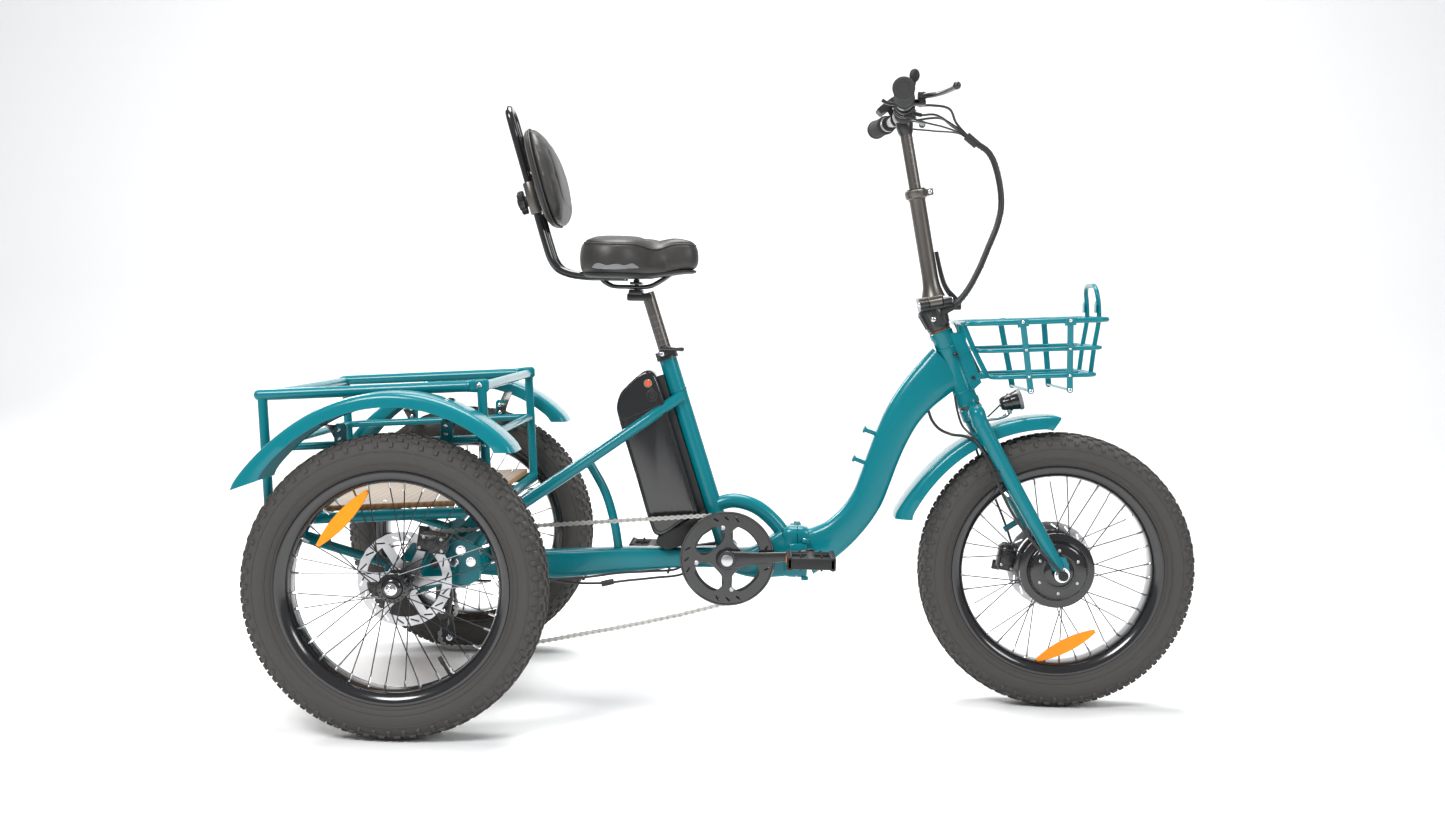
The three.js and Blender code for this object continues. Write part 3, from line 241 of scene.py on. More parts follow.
def capsule(p, q, radius, steps=4):
    """Outline of a round-ended slot between two points."""
    run = math.atan2(q[1] - p[1], q[0] - p[0])
    out = []
    for (u, v), first in ((q, run - math.pi / 2), (p, run + math.pi / 2)):
        for k in range(steps + 1):
            a = first + math.pi * k / steps
            out.append((u + radius * math.cos(a), v + radius * math.sin(a)))
    return out


class Batch:
    """Shapes that together make one piece."""

    def __init__(self):
        self.bm = bmesh.new()

    def rings(self, rings, closed=False, caps=True):
        """Skins a row of equal rings of positions."""
        made = [[self.bm.verts.new(p) for p in ring] for ring in rings]
        count = len(made)
        size = len(made[0])
        for i in range(count if closed else count - 1):
            a, b = made[i], made[(i + 1) % count]
            for k in range(size):
                n = (k + 1) % size
                self.bm.faces.new((a[k], a[n], b[n], b[k]))
        if caps and not closed:
            self.bm.faces.new(made[0][::-1])
            self.bm.faces.new(made[-1])

    def stack(self, place, section, layers):
        """Skins a section scaled at each (offset, scale) layer, placed by place(u, v, offset)."""
        self.rings([[at(*place(u * s, v * s, t)) for u, v in section] for t, s in layers])

    def sweep(self, path, section, up=None, closed=False, scales=None):
        """Carries a section, in millimetres, along a path of positions."""
        count = len(path)
        rings = []
        side = None
        for i, p in enumerate(path):
            before = path[i - 1] if i or closed else p
            after = path[(i + 1) % count] if i < count - 1 or closed else p
            along = (after - before).normalized()
            if up is not None:
                side = along.cross(up).normalized()
            elif side is None:
                side = along.cross(Z if abs(along.z) < 0.9 else X).normalized()
            else:
                side = (side - along * side.dot(along)).normalized()
            top = side.cross(along)
            s = scales[i] / 1000 if scales else 0.001
            rings.append([p + side * (u * s) + top * (v * s) for u, v in section])
        self.rings(rings, closed)

    def tube(self, points, radius, sides=18, per=7, closed=False, end=None):
        """A round tube through millimetre points, tapering when end is given."""
        path = through([at(*p) for p in points], per)
        if closed:
            path = path[:-1]
        scales = None
        if end:
            n = len(path) - 1
            scales = [1 + (end / radius - 1) * i / n for i in range(n + 1)]
        self.sweep(path, circle(radius, sides), closed=closed, scales=scales)

    def bar(self, points, width, height, corner=1.0, up=None, per=6):
        """A flat or square bar through millimetre points."""
        path = through([at(*p) for p in points], per)
        self.sweep(path, rounded(width, height, corner), up=up or Z)

    def loft(self, stations, per=6, sides=32, power=3.0):
        """A tube in the XZ plane through (x, z, depth, width, y) stations."""
        path = through([at(s[0], s[4] if len(s) > 4 else 0, s[1]) for s in stations], per)
        size = through([Vector((s[2], s[3], 0)) for s in stations], per)
        rings = []
        for i, p in enumerate(path):
            along = (path[min(i + 1, len(path) - 1)] - path[max(i - 1, 0)]).normalized()
            across = Y.cross(along).normalized()
            ring = oval(size[i].x / 2000, size[i].y / 2000, sides, power)
            rings.append([p + across * u + Y * v for u, v in ring])
        self.rings(rings)

    def lathe(self, centre, axis, profile, segments=48, loop=False):
        """Revolves (distance along axis, radius) points about an axis through centre."""
        axis = axis.normalized()
        side = axis.cross(Z if abs(axis.z) < 0.9 else X).normalized()
        top = axis.cross(side)
        middle = at(*centre)
        rings = []
        for k in range(segments):
            a = 2 * math.pi * k / segments
            out = side * math.cos(a) + top * math.sin(a)
            rings.append([middle + axis * (t / 1000) + out * (r / 1000) for t, r in profile])
        made = [[self.bm.verts.new(p) for p in ring] for ring in rings]
        size = len(profile)
        for k in range(segments):
            a, b = made[k], made[(k + 1) % segments]
            for i in range(size if loop else size - 1):
                n = (i + 1) % size
                self.bm.faces.new((a[i], b[i], b[n], a[n]))
        if not loop:
            self.bm.faces.new([ring[0] for ring in made][::-1])
            self.bm.faces.new([ring[-1] for ring in made])

    def pin(self, centre, axis, start, end, radius, edge=0.8, segments=32):
        """A turned pin along axis with small chamfers."""
        self.lathe(
            centre,
            axis,
            [(start, radius - edge), (start + edge, radius), (end - edge, radius), (end, radius - edge)],
            segments,
        )

    def plate(self, loops, centre, thickness, x_dir=X, y_dir=Z, bevel=0.4):
        """A flat plate with holes: the first loop is its outline, in millimetres."""
        curve = bpy.data.curves.new("plate", "CURVE")
        curve.dimensions = "2D"
        curve.fill_mode = "BOTH"
        curve.extrude = thickness / 2 - bevel
        curve.bevel_depth = bevel
        curve.bevel_resolution = 1
        for loop in loops:
            spline = curve.splines.new("POLY")
            spline.points.add(len(loop) - 1)
            spline.use_cyclic_u = True
            for point, (u, v) in zip(spline.points, loop):
                point.co = (u, v, 0, 1)
        holder = bpy.data.objects.new("plate", curve)
        bpy.context.scene.collection.objects.link(holder)
        bpy.context.view_layer.update()
        mesh = bpy.data.meshes.new_from_object(
            holder.evaluated_get(bpy.context.evaluated_depsgraph_get())
        )
        normal = x_dir.cross(y_dir)
        place = Matrix((x_dir, y_dir, normal)).transposed().to_4x4()
        place = Matrix.Translation(at(*centre)) @ place @ Matrix.Scale(0.001, 4)
        mesh.transform(place)
        self.bm.from_mesh(mesh)
        bpy.data.objects.remove(holder)
        bpy.data.curves.remove(curve)
        bpy.data.meshes.remove(mesh)

    def block(self, low, high, corner=1.5, turn=0.0, pivot=None, axis="Y", steps=2):
        """A block with rounded edges, optionally turned about a pivot."""
        made = bmesh.ops.create_cube(self.bm, size=1)
        verts = made["verts"]
        a, b = at(*low), at(*high)
        for v in verts:
            v.co = Vector(((a[i] + b[i]) / 2 + v.co[i] * (b[i] - a[i]) for i in range(3)))
        edges = {e for v in verts for e in v.link_edges}
        if corner:
            shaped = bmesh.ops.bevel(
                self.bm,
                geom=list(edges),
                offset=corner / 1000,
                segments=steps,
                profile=0.5,
                affect="EDGES",
            )
            verts = list({v for f in shaped["faces"] for v in f.verts})
        if turn:
            spin = Matrix.Rotation(math.radians(turn), 3, axis)
            bmesh.ops.rotate(self.bm, cent=at(*pivot), matrix=spin, verts=verts)

    def bolt(self, centre, axis, radius=4.0, height=3.0):
        """A domed bolt head with a hexagonal socket."""
        r, h = radius, height
        self.lathe(
            centre,
            axis,
            [(0, r), (h * 0.45, r), (h * 0.85, r * 0.82), (h, r * 0.52), (h * 0.45, r * 0.46)],
            18,
        )

    def hexagon(self, centre, axis, radius, height, bore=0.0):
        """A nut or a hexagonal bolt head."""
        r, h = radius, height
        top = [(h, bore), (h - 1, bore)] if bore else [(h, r * 0.4)]
        self.lathe(centre, axis, [(0, r * 0.94), (0.6, r), (h - 0.8, r), (h, r * 0.86), *top], 6)

    def ball(self, centre, radius, segments=20, stretch=(1, 1, 1)):
        made = bmesh.ops.create_uvsphere(
            self.bm, u_segments=segments, v_segments=segments // 2, radius=radius / 1000
        )
        for v in made["verts"]:
            v.co = Vector((v.co.x * stretch[0], v.co.y * stretch[1], v.co.z * stretch[2]))
            v.co += at(*centre)

    def turned(self, degrees, pivot, axis=Y):
        """Turns everything made so far about an axis through pivot."""
        spin = Matrix.Rotation(math.radians(degrees), 3, axis)
        bmesh.ops.rotate(self.bm, cent=at(*pivot), matrix=spin, verts=self.bm.verts[:])
        return self


SHARP_ANGLE = math.radians(38)


def piece(name, batch, skin, body, replaces=(), blend=None):
    """Makes the batch an object that rides on a body, or, when blend is given, an unparented one with
    its placement baked in.
    """
    bm = batch.bm
    bmesh.ops.recalc_face_normals(bm, faces=bm.faces[:])
    mesh = bpy.data.meshes.new(name)
    bm.to_mesh(mesh)
    bm.free()
    mesh.materials.append(skin)
    mesh.shade_smooth()
    mesh.set_sharp_from_angle(angle=SHARP_ANGLE)
    made = bpy.data.objects.new(name, mesh)
    bpy.context.scene.collection.objects.link(made)
    if blend:
        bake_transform(made)
    else:
        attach(made, body)
    if replaces:
        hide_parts(*replaces)
    return made


# ---------------------------------------------------------------- wheels
TYRE_PROFILE = [
    (33, 209.5), (36, 213), (41, 221), (46, 231), (48.6, 241), (48, 250), (44, 259),
    (37, 266), (27, 270), (14, 272), (0, 272.6),
]
TREAD_COUNT = 60
# Offset from the middle, radius, length, width, half-pitch shift and lean of each knob row.
TREAD_ROWS = (
    (0, 272.4, 15, 9, 0, 0), (13.5, 271.9, 12, 9, 1, 4), (26.5, 269.9, 12, 10, 0, 12),
    (37.5, 265.3, 13, 9, 1, 33), (44.5, 257.5, 7, 11, 0, 55),
)


def mirrored(half):
    """A profile given for one side of the wheel's plane, carried round to the other."""
    return half + [(-t, r) for t, r in reversed(half) if t]


def tyre(name, x, y, body, cad):
    made = Batch()
    centre = (x, y, AXLE_Z)
    outer = mirrored(TYRE_PROFILE)
    made.lathe(centre, Y, outer + [(-27, 208), (0, 204), (27, 208)], 96, loop=True)
    middle = at(*centre)
    for offset, radius, length, width, phase, lean in TREAD_ROWS:
        for side in (1, -1) if offset else (1,):
            slope = math.radians(lean) * side
            for k in range(TREAD_COUNT):
                a = 2 * math.pi * (k + phase / 2) / TREAD_COUNT
                out = Vector((math.cos(a), 0, math.sin(a)))
                run = Vector((-math.sin(a), 0, math.cos(a)))
                normal = out * math.cos(slope) + Y * math.sin(slope)
                across = Y * math.cos(slope) - out * math.sin(slope)
                base = middle + out * (radius / 1000) + Y * (side * offset / 1000)
                ring = []
                for lift, shrink in ((-1.5, 1), (2.9, 0.86), (3.5, 0.7)):
                    ring.append([
                        base + normal * (lift / 1000)
                        + run * (u * length * shrink / 2000)
                        + across * (v * width * shrink / 2000)
                        for u, v in ((1, 1), (-1, 1), (-1, -1), (1, -1))
                    ])
                made.rings(ring)
    for side in (1, -1):
        for radius, t in ((217, 38.8), (226, 44), (247, 48.6)):
            made.lathe(
                centre, Y,
                [(side * (t - 1), radius - 1.6), (side * (t + 0.7), radius - 0.6),
                 (side * (t + 0.7), radius + 0.6), (side * (t - 1), radius + 1.6)],
                96, loop=True,
            )
    return piece(name, made, TYRE, body, [cad])


def rim(name, x, y, body, cad):
    half = [(36.2, 210.4), (36.6, 208), (36, 203.5), (33.6, 198.5), (28, 192), (22, 188.6),
            (10, 187.4), (0, 187.4)]
    inner = [(0, 196), (24, 197), (31.5, 201), (33.2, 206), (33.6, 210.6), (34.8, 211.4)]
    inside = [(-t, r) for t, r in reversed(inner[1:])] + inner
    made = Batch()
    made.lathe((x, y, AXLE_Z), Y, mirrored(half) + inside, 120, loop=True)
    return piece(name, made, GLOSS, body, [cad])


def round_axle(x, y, radius, angle):
    """A point at a radius and an angle about a wheel's axle."""
    u, v = polar(radius, angle)
    return (x + u, y, AXLE_Z + v)


def spoke_ends(x, y, flange_y, flange_r, crossing, count=36):
    """Pairs of hub and rim positions for crossed spokes."""
    for i in range(count):
        side = 1 if i % 2 else -1
        lean = 1 if (i // 2) % 2 else -1
        outer = 2 * math.pi * (i + 0.5) / count
        inner = outer + lean * math.radians(crossing)
        hub = round_axle(x, y + side * (flange_y + lean * 2.6), flange_r, inner)
        yield hub, round_axle(x, y + side * 9, 188.5, outer)


def wheel_details(suffix, x, y, body, flange_y, flange_r, crossing):
    spokes = Batch()
    nipples = Batch()
    for hub, tip in spoke_ends(x, y, flange_y, flange_r, crossing):
        spokes.tube([hub, tip], 1.15, 6)
        way = (Vector(tip) - Vector(hub)).normalized()
        inner = Vector(tip) - way * 13
        nipples.tube([tuple(inner), tip], 2.1, 6, end=2.5)
    piece("spokes_" + suffix, spokes, DARK_STEEL, body)
    piece("spoke_nipples_" + suffix, nipples, CHROME, body)
    valve = Batch()
    a = math.radians(-58 if suffix == "rear_right" else 118)
    out = Vector((math.cos(a), 0, math.sin(a)))
    valve.lathe(
        (x, y, AXLE_Z), out,
        [(190, 3.2), (166, 3.2), (165, 4.2), (152, 4.2), (150, 3)], 12,
    )
    piece("valve_" + suffix, valve, RUBBER, body)


def rotor(name, x, y, body, cad, hub_radius):
    """A brake disc with six leaning arms and a ring of slanted slots."""
    turns = [2 * math.pi * i / 144 for i in range(144)]
    outline = [polar(88 - 0.9 * (0.5 + 0.5 * math.cos(24 * a)), a) for a in turns]
    loops = [outline, circle(hub_radius, 40)]
    for i in range(6):
        first = 2 * math.pi * i / 6
        window = [polar(70.5, first + math.radians(6 + 49 * k / 8)) for k in range(9)]
        window += [polar(33, first + math.radians(36 - 27 * k / 8)) for k in range(9)]
        loops.append(window)
    for i in range(18):
        a = 2 * math.pi * i / 18
        loops.append(capsule(polar(75.5, a), polar(82.5, a + 0.16), 1.6))
    made = Batch()
    made.plate(loops, (x, y, AXLE_Z), 1.8, bevel=0.15)
    inward = 1 if y < 0 else -1
    for i in range(6):
        centre = round_axle(x, y, 27, 2 * math.pi * (i + 0.35) / 6)
        made.bolt(centre, Y * (inward if "rear" in name else 1), 4, 2.4)
    return piece(name, made, STEEL, body, [cad])


def reflector(name, start, end, y, body):
    """A pointed oval reflector clipped across the spokes between two XZ points."""
    a, b = Vector((start[0], 0, start[1])), Vector((end[0], 0, end[1]))
    run = (b - a).normalized()
    half = (b - a).length / 2
    along = [half * (1 - k / 8) for k in range(17)]
    outline = [(u, 2 + 9.5 * (1 - (u / half) ** 2)) for u in along]
    outline += [(u, -v) for u, v in reversed(outline)]
    middle = (a + b) / 2
    made = Batch()
    made.plate([outline], (middle.x, y, middle.z), 8, run, Vector((-run.z, 0, run.x)), bevel=1.6)
    return piece(name, made, AMBER, body)


def rear_wheel(suffix, side):
    x, y = 0, side * TRACK
    body = "wheel_rear_" + suffix
    tyre("tire_rear_" + suffix, x, y, body, "tyre_rear_" + suffix)
    rim("wheel_rim_rear_" + suffix, x, y, body, "rim_rear_" + suffix)
    wheel_details("rear_" + suffix, x, y, body, 25, 23.6, 48)
    made = Batch()
    out = Y * side
    made.lathe(
        (x, y, AXLE_Z), out,
        [(-72, 14), (-71, 15.4), (-38, 15.4), (-34, 16), (-29, 18), (-28.5, 26), (-27.6, 27),
         (-23.6, 27), (-22.6, 25.6), (-22, 19), (-12, 16.5), (12, 16.5), (22, 19), (22.6, 25.6),
         (23.6, 27), (27.6, 27), (28.5, 26), (29, 20), (33, 18.5), (36, 14), (37, 9)],
        48,
    )
    made.pin((x, y, AXLE_Z), out, -371, 37, 8.4)
    for k in range(18):
        for t in (-28.7, 28.7):
            made.ball(round_axle(x, y + side * t, 23.6, 2 * math.pi * k / 18), 1.9, 8)
    piece("hub_shell_rear_" + suffix, made, GLOSS, body, ["hub_rear_" + suffix])
    nut = Batch()
    nut.lathe((x, y, AXLE_Z), out, [(36, 10.6), (37, 11), (38.5, 11), (39, 9)], 32)
    nut.hexagon((x, y + side * 38, AXLE_Z), out, 9.6, 9, 5.2)
    nut.lathe((x, y, AXLE_Z), out, [(40, 5), (56, 5), (57.2, 3.6), (57.2, 1.6), (52, 1.6)], 24)
    piece("axle_nut_rear_" + suffix, nut, CHROME, body)
    rotor("brake_rotor_rear_" + suffix, x, side * 305, body, "disc_rear_" + suffix, 17)
    ends = ((-137, 348), (-50, 446)) if side < 0 else ((62, 280), (155, 370))
    reflector("spoke_reflector_rear_" + suffix, *ends, y - 14, body)


rear_wheel("right", -1)
rear_wheel("left", 1)


def front_wheel():
    x = WHEELBASE
    body = "wheel_front"
    tyre("tire_front", x, 0, body, "tyre_front")
    rim("wheel_rim_front", x, 0, body, "rim_front")
    wheel_details("front", x, 0, body, 24, 71, 14)
    made = Batch()
    made.lathe(
        (x, 0, AXLE_Z), Y,
        [(-51, 12), (-51, 24), (-49, 27), (-46, 30), (-45, 50), (-43, 55), (-38, 58.5),
         (-31, 59.5), (-28.5, 61), (-28, 73), (-27, 75), (-20, 75), (-19, 73), (-18.5, 68),
         (18.5, 68), (19, 73), (20, 75), (27, 75), (28, 73), (28.5, 61), (31, 59.5), (38, 58.5),
         (43, 55), (45, 50), (46, 30), (50, 26), (52, 20), (63, 20), (64, 17)],
        96,
    )
    made.pin((x, 0, AXLE_Z), Y, -60, 64, 9)
    for side in (-1, 1):
        made.lathe((x, 0, AXLE_Z), Y, [(side * 45, 36), (side * 46.6, 36), (side * 46.6, 33),
                                       (side * 45, 33)], 64, loop=True)
    piece("motor_hub_shell", made, GLOSS, body, ["hub_front"])
    screws = Batch()
    for k in range(6):
        for side in (-1, 1):
            spot = round_axle(x, side * 44.6, 43, 2 * math.pi * (k + 0.5) / 6)
            screws.bolt(spot, Y * side, 3.4, 2.2)
    piece("motor_cover_screws", screws, STEEL, body)
    rotor("brake_rotor_front", x, 59, body, "disc_front", 20)
    reflector("spoke_reflector_front", (1216, 92), (1329, 153), -14, body)


front_wheel()


# ---------------------------------------------------------------- rear frame
BB = (589, 0, 290)
SEAT_TOP = (458, 0, 687)
SEAT_RUN = (Vector(SEAT_TOP) - Vector(BB)).length
SEAT_UP = (Vector(SEAT_TOP) - Vector(BB)) / SEAT_RUN
SEAT_BACK = Vector((-SEAT_UP.z, 0, SEAT_UP.x))


def on_seat(s, back=0.0, y=0.0):
    """A point s up the seat tube, back behind it."""
    return tuple(Vector(BB) + SEAT_UP * s + SEAT_BACK * back + Vector((0, y, 0)))


def weld(batch, centre, axis, radius, bead=2.6):
    """A rounded weld bead round a tube's end."""
    profile = [(bead * math.cos(a), radius + bead * 0.8 * math.sin(a))
               for a in [2 * math.pi * k / 8 for k in range(8)]]
    batch.lathe(centre, Vector(axis), profile, 32, loop=True)


def rear_frame():
    made = Batch()
    made.loft(
        [(66, 267, 58, 44), (150, 262, 57, 44), (240, 262, 57, 44), (380, 274, 50, 44),
         (500, 281, 40, 44), (570, 283, 42, 44), (640, 275, 62, 44), (684, 287, 84, 46),
         (712, 298, 98, 48)],
        per=6, power=5,
    )
    made.tube([on_seat(-6), on_seat(SEAT_RUN)], 18, 32)
    made.lathe(BB, Y, [(-35, 20), (-34.4, 22), (34.4, 22), (35, 20)], 40)
    made.tube(
        [(556, 0, 384), (580, 0, 395), (604, 0, 398), (645, 0, 386), (684, 0, 354), (712, 0, 316)],
        15, 24,
    )
    made.tube([(303, -56, 471), (303, 56, 471)], 8, 18)
    made.tube([(304, 0, 470), (338, 0, 410), (358, 0, 346), (369, 0, 284)], 9, 20)
    for side in (-1, 1):
        made.tube([(150, side * 62, 368), (300, side * 57, 473), (430, side * 40, 566),
                   (490, side * 15, 609)], 11.5, 22)
    made.block((68, -264, 254), (106, 264, 298), 4)
    made.tube([(152, -266, 372), (152, 266, 372)], 10, 22)
    made.tube([(-242, -266, 352), (-242, 266, 352)], 9, 22)
    for side in (-1, 1):
        made.tube([(112, side * 14, 262), (152, side * 42, 372)], 9, 18)
        made.tube([(95, side * 256, 290), (152, side * 256, 372)], 9, 18)
        made.tube([(-28, side * 257, 292), (-242, side * 258, 352)], 9, 18)
        plate = [(-24, 250), (-8, 244), (24, 246), (66, 262), (112, 262), (130, 272), (134, 300),
                 (128, 334), (96, 346), (40, 348), (6, 336), (-16, 308), (-44, 296), (-44, 284)]
        loops = [plate, [(u, AXLE_Z + v) for u, v in circle(9, 24)],
                 [(48 + u, 300 + v) for u, v in circle(9, 20)]]
        made.plate(loops, (0, side * 266, 0), 7.6, bevel=1)
        made.lathe((0, 0, AXLE_Z), Y * side, [(254, 17), (255, 19), (283, 19), (284, 17)], 40)
        gusset = [(-150, 322), (-236, 346), (-244, 360), (-228, 362), (-150, 340)]
        made.plate([gusset], (0, side * 258, 0), 4, bevel=0.8)
    weld(made, on_seat(24), SEAT_UP, 17)
    weld(made, on_seat(SEAT_RUN - 72), SEAT_UP, 17.5)
    for side in (-1, 1):
        weld(made, (152, side * 62, 372), Y, 10.5)
        weld(made, (152, side * 256, 372), Y, 10)
    piece("rear_frame_tubes", made, PAINT, "rear", ["rear_frame"])


def rear_hinge():
    hinge = Batch()
    hinge.loft([(700, 299, 96, 46), (711, 299, 103, 54), (724, 299, 104, 56), (727.4, 299, 104, 56)],
               per=2, power=5)
    for low, high in ((247, 272), (326, 351)):
        hinge.lathe((728, 36, 0), Z, [(low, 7.6), (low + 1, 9), (high - 1, 9), (high, 7.6)], 28)
        hinge.block((714, 20, low), (727.4, 36, high), 1.5)
    piece("fold_hinge_rear_half", hinge, PAINT, "rear")


def rear_fittings():
    cups = Batch()
    for side in (-1, 1):
        cups.lathe(BB, Y * side, [(35, 21), (38, 21), (39.5, 18), (41, 12), (41, 9.4)], 24)
    piece("bottom_bracket_cups", cups, SATIN, "rear")

    bolts = Batch()
    for side in (-1, 1):
        for x, z in ((97, 326), (84, 303), (116, 305)):
            bolts.lathe((x, side * 270, z), Y * side, [(0, 9), (1.4, 9), (1.4, 6)], 24)
            bolts.hexagon((x, side * 271, z), Y * side, 7.4, 5, 3)
        for x, z in ((-160, 330), (-226, 350)):
            bolts.hexagon((x, side * 260, z), Y * side, 5.5, 4)
    piece("axle_plate_bolts", bolts, CHROME, "rear")

    hanger = Batch()
    hanger.plate([[(20, 226), (32, 222), (42, 230), (62, 251), (88, 258), (88, 288), (60, 282),
                   (24, 244)]], (0, -102, 0), 8, bevel=1)
    hanger.bar([(78, -98, 272), (78, -40, 272)], 18, 18, 3, up=Z)
    piece("derailleur_hanger", hanger, SATIN, "rear")


rear_frame()
rear_hinge()
rear_fittings()


# ---------------------------------------------------------------- cargo tub and mudguards
TUB = Vector((-254, 0, 377))
TILT = math.radians(3.7)
TUB_FORWARD = Vector((math.cos(TILT), 0, math.sin(TILT)))
TUB_UP = Vector((-math.sin(TILT), 0, math.cos(TILT)))


def on_tub(u, v, w):
    """A point of the cargo tub: u forward, v to the left, w up."""
    return tuple(TUB + TUB_FORWARD * u + Vector((0, v, 0)) + TUB_UP * w)


def rounded_hoop(batch, place, rear, front, half, w, corner, radius, sides):
    """A closed tube round a level rectangle with rounded corners."""
    outline = rounded(front - rear, 2 * half, corner, 4)
    loop = [at(*place((rear + front) / 2 + u, v, w)) for u, v in outline]
    batch.sweep(loop, circle(radius, sides), closed=True)


STAY_PLACES = (142, 338)


def cargo_tub():
    made = Batch()
    half, length, height = 292, 406, 232
    middle = height * 0.58
    for w, radius, corner in ((0, 10.5, 14), (middle, 7.5, 26)):
        rounded_hoop(made, on_tub, 0, length, half, w, corner, radius, 18)
    for u in (0, length):
        made.tube([on_tub(u, -half, height - 2), on_tub(u, half, height - 2)], 9, 18)
        for v in (-half, half):
            made.tube([on_tub(u, v, 4), on_tub(u, v, height - 2)], 9, 18)
    for v in (-100, 100):
        made.bar([on_tub(0, v, -2), on_tub(length, v, -2)], 16, 14, 3)
    bolts = Batch()
    for side in (-1, 1):
        v = side * half
        made.tube([on_tub(-5, v, height), on_tub(length - 22, v, height)], 10.5, 22)
        made.ball(on_tub(-5, v, height), 10.4, 20)
        made.loft([(*on_tub(length - 28, 0, height)[::2], 21, 21, v),
                   (*on_tub(length - 14, 0, height)[::2], 24, 10, v),
                   (*on_tub(length + 8, 0, height)[::2], 25, 7, v),
                   (*on_tub(length + 14, 0, height)[::2], 15, 6, v)], per=4, sides=20, power=2.6)
        bolts.bolt(on_tub(length - 4, side * (half + 4), height), Y * side, 6, 4)
        for u in STAY_PLACES:
            tab = [(-11, -8), (11, -8), (11, 34), (7, 39), (-7, 39), (-11, 34)]
            made.plate([tab], on_tub(u, side * (half + 9), middle), 4, bevel=0.8)
            for w in (12, 28):
                bolts.bolt(on_tub(u, side * (half + 11), middle + w), Y * side, 4.4, 3.2)
                bolts.bolt(on_tub(u, side * (half + 3), middle + w), -Y * side, 4.4, 3.2)
        for w in (14, middle - 12):
            bolts.bolt(on_tub(length, side * (half + 8), w), Y * side, 3.4, 2.4)
    piece("cargo_tub_rails", made, PAINT, "rear", ["cargo_rack"])

    board = Batch()
    board.bar([on_tub(12, 0, 15.6), on_tub(length - 12, 0, 15.6)], 2 * half - 24, 10, 1.2)
    piece("cargo_floor_board", board, BOARD_EDGE, "rear", ["cargo_floor"])
    face = Batch()
    face.bar([on_tub(13, 0, 20.8), on_tub(length - 13, 0, 20.8)], 2 * half - 26, 0.8, 0.3)
    piece("cargo_floor_veneer", face, BOARD, "rear")
    for u in (40, 203, 366):
        for v in (-240, -80, 80, 240):
            bolts.bolt(on_tub(u, v, 21.2), TUB_UP, 4.5, 1.8)
    piece("cargo_tub_bolts", bolts, CHROME, "rear")


cargo_tub()


def mudguard(name, centre, y, radius, half, ends, cuts, flare, body, cad):
    """A rolled-edge guard about its own centre, ends cut back to the lip, the rear one flared."""
    section = [(-half, 25), (-half, 10), (-half + 3, 4), (-half + 9, 1), (-half + 16, 0),
               (half - 16, 0), (half - 9, 1), (half - 3, 4), (half, 10), (half, 25)]
    inner = [(v * (half - 2.2) / half, d + 2.2 if d < 20 else d) for v, d in reversed(section)]
    loop = section + [(half - 1.2, 26.4)] + inner + [(1.2 - half, 26.4)]
    made = Batch()
    rings = []
    steps, flared_steps, flare_depth, end_drop = 48, 16, 40, 3.5
    for k in range(steps + 1):
        drop = end_drop * max(0, 1 - min(k, steps - k) / 2) ** 2
        reach = flare * max(0, 1 - k / flared_steps) ** 2
        ring = []
        for v, d in loop:
            r = radius - d - drop + reach * (1 - d / flare_depth)
            first = math.radians(ends[0]) - cuts[0] * d / r
            last = math.radians(ends[1]) + cuts[1] * d / r
            a = first + (last - first) * k / steps
            ring.append(at(centre[0] + r * math.cos(a), y + v, centre[1] + r * math.sin(a)))
        rings.append(ring)
    made.rings(rings)
    return piece(name, made, PAINT, body, [cad])


GUARD_CENTRE = (1, 333)
GUARD_RADIUS = 293


def on_guard(x, y, depth=0.0):
    """A point of a rear guard above x, depth millimetres inside its crown."""
    r = GUARD_RADIUS - depth
    return (x, y, GUARD_CENTRE[1] + math.sqrt(r * r - (x - GUARD_CENTRE[0]) ** 2))


def guard_stays(suffix, side):
    """Black slotted stays between the tub's mid rail and a guard, and the guard's bolts."""
    stays = Batch()
    screws = Batch()
    for u, lean in zip(STAY_PLACES, (-27, 13)):
        foot = Vector(on_tub(u, side * 297.2, 144))
        top = on_guard(foot.x + lean, side * 328, 22)
        stays.bar([tuple(foot), (foot.x + lean * 0.5, side * 299, foot.z + 22), top], 3, 19, 1, up=X)
        crown = on_guard(foot.x + lean, side * 350, -0.4)
        stays.bar([top, on_guard(foot.x + lean, side * 331, 5), crown], 3, 19, 1, up=X)
        slope = (Vector(crown) - Vector((GUARD_CENTRE[0], crown[1], GUARD_CENTRE[1]))).normalized()
        for y in (345, 365):
            screws.bolt(on_guard(foot.x + lean, side * y, -0.4), slope, 4.4, 2.6)
    piece("guard_stays_" + suffix, stays, SATIN, "rear")
    piece("guard_bolts_" + suffix, screws, CHROME, "rear")


for suffix, side in (("right", -1), ("left", 1)):
    mudguard("fender_rear_" + suffix, GUARD_CENTRE, side * TRACK, GUARD_RADIUS, 50, (159, 41.4),
             (1.45, 0.88), 22, "rear", "mudguard_rear_" + suffix)
    guard_stays("rear_" + suffix, side)


